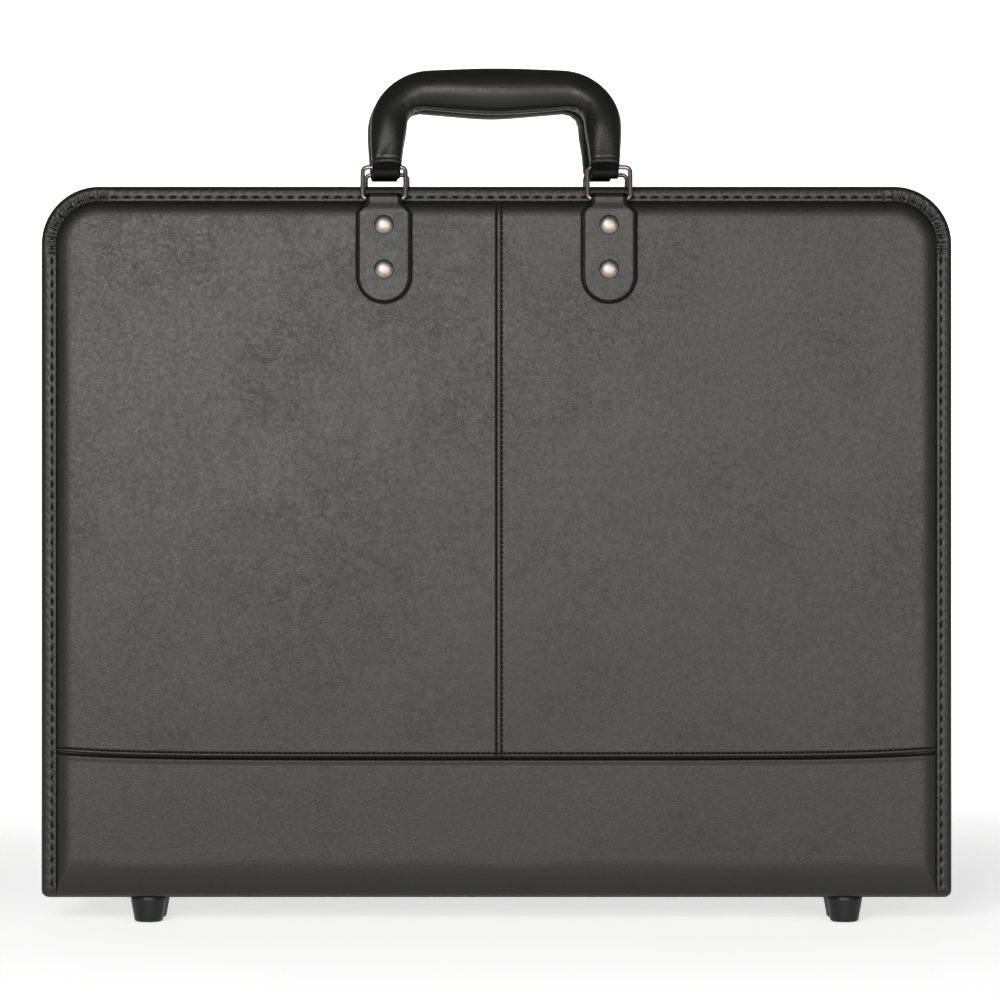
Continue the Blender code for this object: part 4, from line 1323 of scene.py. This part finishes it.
class CASE_OT_zip(bpy.types.Operator):
    """Gusset, tape and teeth of the zip, its two sliders and their pulls"""

    bl_idname = "case.zip"
    bl_label = "Zip"

    def execute(self, context):
        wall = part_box("front_gusset")
        inset = HALF_W - wall[1].x
        low = wall[0].z
        self.middle = inset + 0.75 * MM
        for side in SIDES:
            self.wall(side, inset, low)
            self.teeth(side, low)
        for label, sign in (("left", -1), ("right", 1)):
            self.slider(label, sign)
        return {"FINISHED"}

    def wall(self, side, inset, low):
        near, far = inset, inset + 1.5 * MM
        gusset = [(near, -0.3 * MM), (near - 0.5 * MM, -3 * MM), (near - 0.7 * MM, -6.5 * MM),
                  (near - 0.5 * MM, -10 * MM), (near - 0.1 * MM, -12.2 * MM), (near + 0.3 * MM, -12.7 * MM),
                  (far, -12.6 * MM), (far - 0.2 * MM, -6.5 * MM), (far, -0.3 * MM)]
        points, faces = tube(wall_band(gusset, 2.5 * MM, low))
        piece = cover_solid(f"{side}_gusset_strip", points, faces, side, "trim")
        settle(piece, f"{side}_cover", "leatherette", f"{side}_gusset")
        level = self.middle
        tape = [(level - 0.5 * MM, -12.2 * MM), (level - 0.45 * MM, -18 * MM),
                (level - 0.45 * MM, -24.7 * MM), (level - 0.1 * MM, -25.2 * MM),
                (level + 0.5 * MM, -24.7 * MM), (level + 0.5 * MM, -12.8 * MM)]
        points, faces = tube(wall_band(tape, 2.5 * MM, low))
        piece = cover_solid(f"{side}_tape", points, faces, side, "tape")
        settle(piece, f"{side}_cover", "zip_tape", f"{side}_zip_tape")
        path = outline_path(inset - 0.35 * MM, 2.5 * MM, low + 2 * MM, sizes().wall_corner)
        line = np.column_stack([path[:, 0], np.full(len(path), -11.2 * MM), path[:, 1]])
        row = stitched(f"{side}_tape_stitches", [line], side, 4.2 * MM, 3.0 * MM, 0.55 * MM)
        settle(row, f"{side}_cover", "leatherette")

    def teeth(self, side, low):
        s = sizes()
        path = outline_path(self.middle, 1.0 * MM, low + 2 * MM, s.wall_corner)
        late = 0 if side == "front" else 1
        skip = late * s.tooth_pitch / 2
        keep = path[path[:, 2] >= skip]
        line = np.column_stack([keep[:, 0], np.full(len(keep), -26.2 * MM), keep[:, 1]])
        way = outward(side)
        world = np.column_stack([line[:, 0], way * (FOLD_Y + line[:, 1]), line[:, 2]])
        piece = grown(f"{side}_zip_teeth", tree_named("zip teeth", tooth_tree), [world],
                      {"Pitch": s.tooth_pitch, "Reach": -way * 3.6 * MM, "Width": 1.45 * MM,
                       "Height": 2.2 * MM, "Finish": material("teeth")})
        piece.data.set_sharp_from_angle(angle=math.radians(40))
        settle(piece, f"{side}_cover", "zip_plastic", f"{side}_zip_chain")

    def slider(self, label, sign):
        low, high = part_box(f"zip_slider_{label}")
        centre = (low + high) / 2
        chain_z = TOP_Z - self.middle
        grip, plate = 1.8 * MM, 1.3 * MM
        turn = Matrix.Rotation(0 if sign > 0 else math.pi, 4, "Z")
        place = Matrix.Translation((centre.x, centre.y, chain_z)) @ turn
        outline = mirrored([(-5.0, 3.0), (-4.4, 3.7), (-1.0, 4.4), (3.6, 4.5), (4.6, 4.1), (5.0, 3.2)])
        meshes = []
        for z in (grip, -grip - plate):
            meshes.append(extruded("plate", outline, "Z", z, z + plate, place, ["nickel"], 0.35 * MM))
        post = [(-3.5 * MM, -0.5 * MM), (-3.5 * MM, 0.5 * MM), (3.2 * MM, 0.5 * MM), (3.2 * MM, -0.5 * MM)]
        meshes.append(extruded("post", post, "Z", -grip - 0.3 * MM, grip + 0.3 * MM, place, ["nickel"]))
        top = grip + plate
        loop = [(-2.6, -0.2), (-2.6, 1.2), (-1.8, 2.6), (0, 3.0), (1.8, 2.6), (2.6, 1.2), (2.6, -0.2),
                (1.7, -0.2), (1.7, 0.9), (1.2, 1.9), (0, 2.2), (-1.2, 1.9), (-1.7, 0.9), (-1.7, -0.2)]
        bridge = [(x * MM, top + z * MM) for x, z in loop]
        meshes.append(extruded("bridge", bridge, "Y", -1.1 * MM, 1.1 * MM, place, ["nickel"], 0.2 * MM))
        piece = merged(f"zip_slider_body_{label}", meshes)
        settle(piece, f"zip_{label}_slider", "nickel", f"zip_slider_{label}")
        pivot = Vector(JOINTS[f"zip_{label}_pull_swing"]["pos_m"])
        place = Matrix.Translation(pivot) @ turn
        outline = mirrored([(1.9, 2.6), (3.5, 3.2), (12.0, 2.6), (20.5, 3.8), (23.2, 3.3), (24.0, 1.8)])
        half = 0.6 * MM
        tab = extruded("tab", outline, "Z", -half, half, place, ["nickel"], 0.4 * MM, 3)
        eye = []
        for sign_y in (1, -1):
            prong = [(-0.9, 1.6), (-0.9, 2.9), (2.6, 2.9), (2.6, 1.6)]
            prong = [(x * MM, sign_y * y * MM) for x, y in prong]
            eye.append(extruded("prong", prong, "Z", -half, half, place, ["nickel"], 0.3 * MM))
        pin = Matrix.Translation(pivot) @ Matrix.Rotation(math.pi / 2, 4, "X")
        bar = lathe("pin", [(0.55 * MM, -2.0 * MM), (0.55 * MM, 2.0 * MM)], 12, pin, "nickel", sharp=40)
        piece = merged(f"zip_pull_tab_{label}", [tab, bar, *eye])
        settle(piece, f"zip_{label}_pull", "nickel", f"zip_pull_{label}")


def mirrored(points):
    """An outline in metres from one side's points in mm and their mirror image."""
    side = [(x * MM, y * MM) for x, y in points]
    return side + [(x, -y) for x, y in reversed(side)]


def merged(name, parts):
    """One object from several, which are used up."""
    bm = bmesh.new()
    for part in parts:
        bm.from_mesh(part.data)
    mesh = bpy.data.meshes.new(name)
    bm.to_mesh(mesh)
    bm.free()
    keys = [m for m in parts[0].data.materials]
    for part in parts:
        bpy.data.objects.remove(part)
    for one in keys:
        mesh.materials.append(one)
    piece = bpy.data.objects.new(name, mesh)
    bpy.context.scene.collection.objects.link(piece)
    return piece


class CASE_OT_inside(bpy.types.Operator):
    """Lining and pocket inside each cover, and the cloth that bridges each fold"""

    bl_idname = "case.inside"
    bl_label = "Lining and pockets"

    def execute(self, context):
        for side in SIDES:
            self.lining(side)
            self.pocket(side)
            self.fold(side)
        return {"FINISHED"}

    def lining(self, side):
        low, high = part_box(f"{side}_lining")
        inset = HALF_W - high.x
        up = spaced([(low.z, 8 * MM), (TOP_Z - sizes().corner, 1.5 * MM), (high.z, 0)])
        count = 70
        rows = []
        for z in up:
            x = np.linspace(-1, 1, count) * reach_at(z, inset)
            level = np.full(count, z)
            depth = -0.9 * MM - 0.12 * MM * waves(x, level, 9, 12, 0.05, 0.15)
            rows.append(np.column_stack([x, depth, level]))
        grid = np.array(rows)
        piece = cover_sheet(f"{side}_lining_cloth", grid, side, -0.5 * MM, "lining")
        settle(piece, f"{side}_cover", "lining", f"{side}_lining")

    def pocket(self, side):
        low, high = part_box(f"{side}_pocket")
        up = spaced([(low.z, 1 * MM), (low.z + 6 * MM, 7 * MM), (high.z - 16 * MM, 1 * MM), (high.z, 0)])
        x = spaced([(-high.x, 1 * MM), (-high.x + 6 * MM, 7 * MM), (high.x - 6 * MM, 1 * MM), (high.x, 0)])
        rows = []
        for z in up:
            level = np.full(len(x), z)
            edge = np.minimum(np.minimum(high.x - np.abs(x), z - low.z) / (5 * MM), 1)
            slack = 0.22 * MM * waves(x, level, 12, 14, 0.04, 0.13) * edge
            mouth = 0.35 * MM * math.exp(-(((z - high.z + 6 * MM) / (5 * MM)) ** 2))
            hem = -0.25 * MM * math.exp(-(((z - high.z + 12 * MM) / (0.8 * MM)) ** 2))
            rows.append(np.column_stack([x, -1.75 * MM - 0.2 * MM * edge - slack - mouth - hem, level]))
        grid = np.array(rows)
        piece = cover_sheet(f"{side}_pocket_cloth", grid, side, -0.4 * MM, "lining")
        settle(piece, f"{side}_cover", "lining", f"{side}_pocket")
        sew = [(-high.x + 2.5 * MM, high.z), (-high.x + 2.5 * MM, low.z + 2.5 * MM),
               (high.x - 2.5 * MM, low.z + 2.5 * MM), (high.x - 2.5 * MM, high.z)]
        line = [(a, -2.2 * MM, b) for a, b in sew]
        hem = [(-high.x, -2.35 * MM, high.z - 12 * MM), (high.x, -2.35 * MM, high.z - 12 * MM)]
        row = stitched(f"{side}_pocket_stitches", [line, hem], side, 3.6 * MM, 2.5 * MM, 0.5 * MM)
        settle(row, f"{side}_cover", "lining")

    def fold(self, side):
        """A strip of lining from the spine up on to the cover, which bends at the fold."""
        half = HALF_W - 13 * MM
        x = np.linspace(-half, half, 60)
        spine_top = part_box("spine_lining")[1].z
        rows = []
        steps = 14
        for i in range(steps + 1):
            t = i / steps
            a = math.pi / 2 * t
            depth = -1.7 * MM - 8 * MM * (1 - math.sin(a))
            z = spine_top + 0.6 * MM + 8 * MM * (1 - math.cos(a))
            rows.append(np.column_stack([x, np.full(60, depth), np.full(60, z)]))
        grid = np.array(rows)
        piece = cover_sheet(f"{side}_fold_lining", grid, side, 0.4 * MM, "lining")
        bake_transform(piece)


class CASE_OT_spine(bpy.types.Operator):
    """Spine covering, spine lining and the four feet"""

    bl_idname = "case.spine"
    bl_label = "Spine and feet"

    def execute(self, context):
        low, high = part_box("spine_skin")
        half = FOLD_Y - 9 * MM
        y = np.linspace(-half, half, 24)
        x = spaced([(-high.x, 1 * MM), (-high.x + 4 * MM, 8 * MM), (high.x - 4 * MM, 1 * MM), (high.x, 0)])
        near_end = np.clip((high.x - np.abs(x)) / (3 * MM), 0, 1)
        grid = level_grid(x, y, low.z + (0.7 * MM * (1 - np.sqrt(1 - (1 - near_end) ** 2)))[:, None])
        points, faces = shell(grid, -1.2 * MM)
        piece = built("spine_covering", points.tolist(), faces, "skin")
        settle(piece, "spine", "leatherette", "spine_skin")
        low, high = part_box("spine_lining")
        y = np.linspace(low.y, high.y, 16)
        x = np.linspace(low.x, high.x, 90)
        grid = level_grid(x, y, high.z + 0.05 * MM * waves(x[:, None], y[None, :], 15, 10, 0.03, 0.1))
        points, faces = shell(grid, 0.6 * MM)
        piece = built("spine_cloth", points.tolist(), faces, "lining")
        settle(piece, "spine", "lining", "spine_lining")
        for fb in SIDES:
            for end in ("left", "right"):
                self.foot(f"foot_{fb}_{end}")
        return {"FINISHED"}

    def foot(self, node):
        """A tapered foot with a rounded lower edge and a screw in a recess underneath."""
        low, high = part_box(node)
        r_top = (high.x - low.x) / 2
        r_low = 9.5 * MM
        top = BASE_Z - 0.3 * MM
        edge = 2.2 * MM
        profile = [(0.05 * MM, 2.6 * MM), (3.4 * MM, 2.6 * MM), (3.5 * MM, 0.5 * MM), (3.9 * MM, 0.0)]
        profile.append((r_low - edge, 0.0))
        for i in range(1, 7):
            a = math.pi / 2 * i / 6
            profile.append((r_low - edge + edge * math.sin(a), edge - edge * math.cos(a)))
        profile += [(r_top - 0.25 * MM, top - 4.0 * MM), (r_top, top - 2.6 * MM), (r_top, top - 0.5 * MM),
                    (r_top - 0.4 * MM, top), (2.5 * MM, top), (2.5 * MM, high.z)]
        place = Matrix.Translation(((low.x + high.x) / 2, (low.y + high.y) / 2, 0))
        body = lathe(f"{node}_moulding", profile, 48, place, "foot", sharp=50)
        settle(body, "spine", "foot_plastic", node)
        head = [(0.05 * MM, 1.0 * MM), (0.9 * MM, 1.0 * MM), (1.2 * MM, 0.75 * MM), (2.6 * MM, 1.0 * MM),
                (3.1 * MM, 1.6 * MM), (3.1 * MM, 2.5 * MM), (0.05 * MM, 2.5 * MM)]
        screw = lathe(f"{node}_screw", head, 24, place, "nickel", sharp=50)
        settle(screw, "spine", "nickel")


class CASE_OT_binder(bpy.types.Operator):
    """Ring binder: sprung plate, blades with half rings, and thumb levers"""

    bl_idname = "case.binder"
    bl_label = "Ring binder"

    def execute(self, context):
        self.plate()
        for side in SIDES:
            self.blade(side)
        for label, sign in (("left", -1), ("right", 1)):
            self.lever(label, sign)
        return {"FINISHED"}

    def plate(self):
        low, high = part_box("binder_base")
        half_l, half_w = high.x, high.y
        x = spaced([(-half_l, 1 * MM), (-half_l + 8 * MM, 8 * MM), (half_l - 8 * MM, 1 * MM), (half_l, 0)])
        v = np.linspace(-1, 1, 25)
        edge = low.z + 5.6 * MM
        round_end = np.sqrt(1 - np.clip((np.abs(x) - (half_l - 4 * MM)) / (4.05 * MM), 0, 1) ** 2)
        drop = 3.5 * MM * smooth((np.abs(x) - (half_l - 14 * MM)) / (10 * MM))
        grid = level_grid(x, v, edge + (high.z - edge) * np.cos(math.pi / 2 * v)[None, :] - drop[:, None])
        grid[:, :, 1] *= half_w * (0.55 + 0.45 * round_end[:, None])
        points, faces = shell(grid, 0.8 * MM)
        plate = built("binder_plate", points.tolist(), faces, "nickel")
        parts = [plate]
        for sign in (-1, 1):
            place = Matrix.Translation((sign * (half_l - 11 * MM), 0, 0))
            head = [(1.6 * MM, low.z), (1.6 * MM, high.z - 0.5 * MM), (3.2 * MM, high.z - 0.3 * MM),
                    (3.0 * MM, high.z + 0.4 * MM), (1.5 * MM, high.z + 0.9 * MM),
                    (0.05 * MM, high.z + 1.0 * MM)]
            parts.append(lathe("rivet", head, 28, place, "nickel", sharp=50))
            post = [(-3 * MM, -9 * MM), (3 * MM, -9 * MM), (3 * MM, 9 * MM), (-3 * MM, 9 * MM)]
            parts.append(extruded("post", post, "Z", low.z, low.z + 5.5 * MM, place, ["nickel"], 0.4 * MM))
        piece = merged("binder_sprung_plate", parts)
        settle(piece, "spine", "nickel", "binder_base")

    def blade(self, side):
        way = outward(side)
        low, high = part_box(f"binder_{side}_blade")
        pivot = Vector(JOINTS[f"binder_{side}_open"]["pos_m"])
        width = abs(pivot.y) - 0.35 * MM
        half = high.x
        outline = [(-half, 0), (half, 0), (half, -way * width), (-half, -way * width)]
        place = Matrix.Translation(pivot)
        parts = [extruded("strip", outline, "Z", -0.6 * MM, 0.6 * MM, place, ["nickel"], 0.2 * MM)]
        wire = 1.1 * MM
        lift, radius, out_y = 19.0 * MM, 17.5 * MM, 13.4 * MM
        bend = math.acos(out_y / radius)
        for i in range(7):
            x = (i - 3) * 64 * MM
            path = [(abs(pivot.y) - 1.0 * MM, 0.0), (out_y - 2.4 * MM, 0.0)]
            for k in range(1, 6):
                a = math.pi / 2 * k / 5
                path.append((out_y - 2.4 * MM + 2.2 * MM * math.sin(a), 2.2 * MM * (1 - math.cos(a))))
            for k in range(29):
                a = -bend + (math.pi / 2 + bend) * k / 28
                path.append((max(radius * math.cos(a), 0.12 * MM), lift + radius * math.sin(a)))
            rings = []
            line = np.array(path)
            along = np.gradient(line, axis=0)
            along /= np.linalg.norm(along, axis=1, keepdims=True)
            along[-1] = (-1, 0)
            for (y, z), (ty, tz) in zip(line, along):
                ring = []
                for k in range(10):
                    a = math.tau * k / 10
                    ring.append((x + wire * math.sin(a), way * (y - tz * wire * math.cos(a)),
                                 pivot.z + z + ty * wire * math.cos(a)))
                rings.append(ring)
            points, faces = tube(rings)
            parts.append(built("half_ring", points.tolist(), faces, "nickel"))
        piece = merged(f"binder_{side}_half_rings", parts)
        piece.data.shade_smooth()
        piece.data.set_sharp_from_angle(angle=math.radians(55))
        settle(piece, f"binder_{side}_blade", "nickel", f"binder_{side}_blade")

    def lever(self, label, sign):
        low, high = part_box(f"binder_lever_{label}")
        pivot = Vector(JOINTS[f"binder_{label}_lever_tilt"]["pos_m"])
        tall = high.z - pivot.z
        rows = []
        for i in range(22):
            t = i / 21
            x = 4.0 * MM * t**1.5 + 3.2 * MM * max(0.0, t - 0.8) / 0.2
            z = -0.8 * MM + tall * math.sin(math.pi / 2 * min(1.0, t * 1.02)) ** 0.9
            half = 7.0 * MM * math.sqrt(max(0.02, 1 - max(0.0, (t - 0.72) / 0.3) ** 2))
            v = np.linspace(-1, 1, 13)
            scoop = 0.9 * MM * (1 - v**2) * smooth((t - 0.45) / 0.3)
            rows.append(np.column_stack([sign * (x - scoop), v * half, np.full(13, z)]))
        grid = np.array(rows) + np.array(pivot)
        points, faces = shell(grid, sign * 1.3 * MM)
        piece = built(f"binder_thumb_lever_{label}", points.tolist(), faces, "nickel")
        settle(piece, f"binder_{label}_lever", "nickel", f"binder_lever_{label}")


class CASE_OT_boards(bpy.types.Operator):
    """Finishes for the boards, which keep the frame's own shape"""

    bl_idname = "case.boards"
    bl_label = "Boards"

    def execute(self, context):
        for node in ("front_board", "back_board", "spine_board"):
            data = frame["nodes"][node].data
            data.materials.clear()
            data.materials.append(material("board"))
        return {"FINISHED"}


# ---------------------------------------------------------------- stage
class CASE_OT_stage(bpy.types.Operator):
    """Pale floor that curves up behind, soft lights and the camera"""

    bl_idname = "case.stage"
    bl_label = "Studio"

    def execute(self, context):
        scene = context.scene
        self.floor()
        middle = (0, 0, 0.28)
        self.light("key", (-0.62, -2.85, 0.82), middle, size=1.1, power=62)
        self.light("fill", (0.85, -2.75, 0.46), middle, size=1.0, power=28)
        world = bpy.data.worlds.new("studio")
        world.use_nodes = True
        back = world.node_tree.nodes["Background"]
        back.inputs["Color"].default_value = (1, 1, 1, 1)
        back.inputs["Strength"].default_value = 0.09
        scene.world = world
        scene.view_settings.view_transform = "Standard"
        lens = bpy.data.cameras.new("front view")
        lens.lens = 150
        lens.sensor_width = 36
        camera = bpy.data.objects.new("front view", lens)
        seen_width = 0.6542
        away = seen_width * lens.lens / lens.sensor_width
        camera.location = (0.0023, -FOLD_Y - CROWN - away, 0.2779)
        camera.rotation_euler = (math.pi / 2, 0, 0)
        scene.collection.objects.link(camera)
        scene.camera = camera
        return {"FINISHED"}

    def light(self, name, place, target, size, power):
        data = bpy.data.lights.new(name, "AREA")
        data.size = size
        data.energy = power
        lamp = bpy.data.objects.new(name, data)
        lamp.location = place
        aim = Vector(target) - Vector(place)
        lamp.rotation_euler = aim.to_track_quat("-Z", "Y").to_euler()
        lamp.visible_camera = False
        bpy.context.scene.collection.objects.link(lamp)

    def floor(self):
        """A sheet that lies flat and then curves up behind the case, and glows by itself with painted light,
        most behind the case.
        """
        half, front, back, radius, tall = 8.0, -9.0, 6.5, 1.5, 3.0
        profile = [(front, 0.0), (back, 0.0)]
        for i in range(1, 25):
            a = math.pi / 2 * i / 24
            profile.append((back + radius * math.sin(a), radius * (1 - math.cos(a))))
        profile.append((back + radius, tall))
        points = [(x, y, z) for y, z in profile for x in (-half, half)]
        faces = [(2 * i, 2 * i + 1, 2 * i + 3, 2 * i + 2) for i in range(len(profile) - 1)]
        mesh = bpy.data.meshes.new("studio_floor")
        mesh.from_pydata(points, [], faces)
        mesh.shade_smooth()
        made, tree, shader = finish("studio paper", Roughness=0.9)
        place = object_place(tree)
        coloured(tree, shader, colours().floor, noise(tree, place, 1 / 3, 2.0), ((0.3, 0.985), (0.7, 1.0)))
        parts = add(tree, "ShaderNodeSeparateXYZ", links={"Vector": place}).outputs
        behind = add(tree, "ShaderNodeMapRange", {"interpolation_type": "SMOOTHSTEP"}, {"Value": parts["Y"]},
                     From_Min=0.2, From_Max=1.8)
        aside = add(tree, "ShaderNodeMapRange", {"interpolation_type": "SMOOTHSTEP"},
                    {"Value": maths(tree, "ABSOLUTE", parts["X"])}, From_Min=1.3, From_Max=3.2, To_Min=1.0,
                    To_Max=0.0)
        glow_pool = maths(tree, "MULTIPLY", behind.outputs[0], aside.outputs[0])
        # Painted light: the floor emits light itself, 0.60 everywhere and up to 0.47 more behind the case and
        # towards the middle
        everywhere, more_behind = 0.60, 0.47
        painted_glow = maths(tree, "MULTIPLY_ADD", glow_pool, more_behind, everywhere)
        tree.links.new(painted_glow, shader.inputs["Emission Strength"])
        shader.inputs["Emission Color"].default_value = (1, 1, 1, 1)
        mesh.materials.append(made)
        sheet = bpy.data.objects.new("studio_floor", mesh)
        bpy.context.scene.collection.objects.link(sheet)


OPERATORS = (
    CASE_OT_stage,
    CASE_OT_panels,
    CASE_OT_binding,
    CASE_OT_seams,
    CASE_OT_tabs,
    CASE_OT_rivets,
    CASE_OT_rings,
    CASE_OT_grips,
    CASE_OT_zip,
    CASE_OT_inside,
    CASE_OT_spine,
    CASE_OT_binder,
    CASE_OT_boards,
)


class CASE_PT_panel(bpy.types.Panel):
    """Lists the case's pieces and settings"""

    bl_idname = "CASE_PT_panel"
    bl_label = "Portfolio Case"
    bl_space_type = "VIEW_3D"
    bl_region_type = "UI"
    bl_category = "Portfolio Case"

    def draw(self, context):
        layout = self.layout
        for operator in OPERATORS:
            layout.operator(operator.bl_idname)
        for settings in (context.scene.case_sizes, context.scene.case_colours):
            box = layout.box()
            for name in settings.__annotations__:
                box.prop(settings, name)


CLASSES = (CaseSizes, CaseColours, *OPERATORS, CASE_PT_panel)


def register():
    for one in CLASSES:
        bpy.utils.register_class(one)
    bpy.types.Scene.case_sizes = bpy.props.PointerProperty(type=CaseSizes)
    bpy.types.Scene.case_colours = bpy.props.PointerProperty(type=CaseColours)


def unregister():
    del bpy.types.Scene.case_sizes
    del bpy.types.Scene.case_colours
    for one in reversed(CLASSES):
        bpy.utils.unregister_class(one)


def main():
    register()
    for operator in OPERATORS:
        group, name = operator.bl_idname.split(".")
        getattr(getattr(bpy.ops, group), name)()


if __name__ == "__main__":
    main()
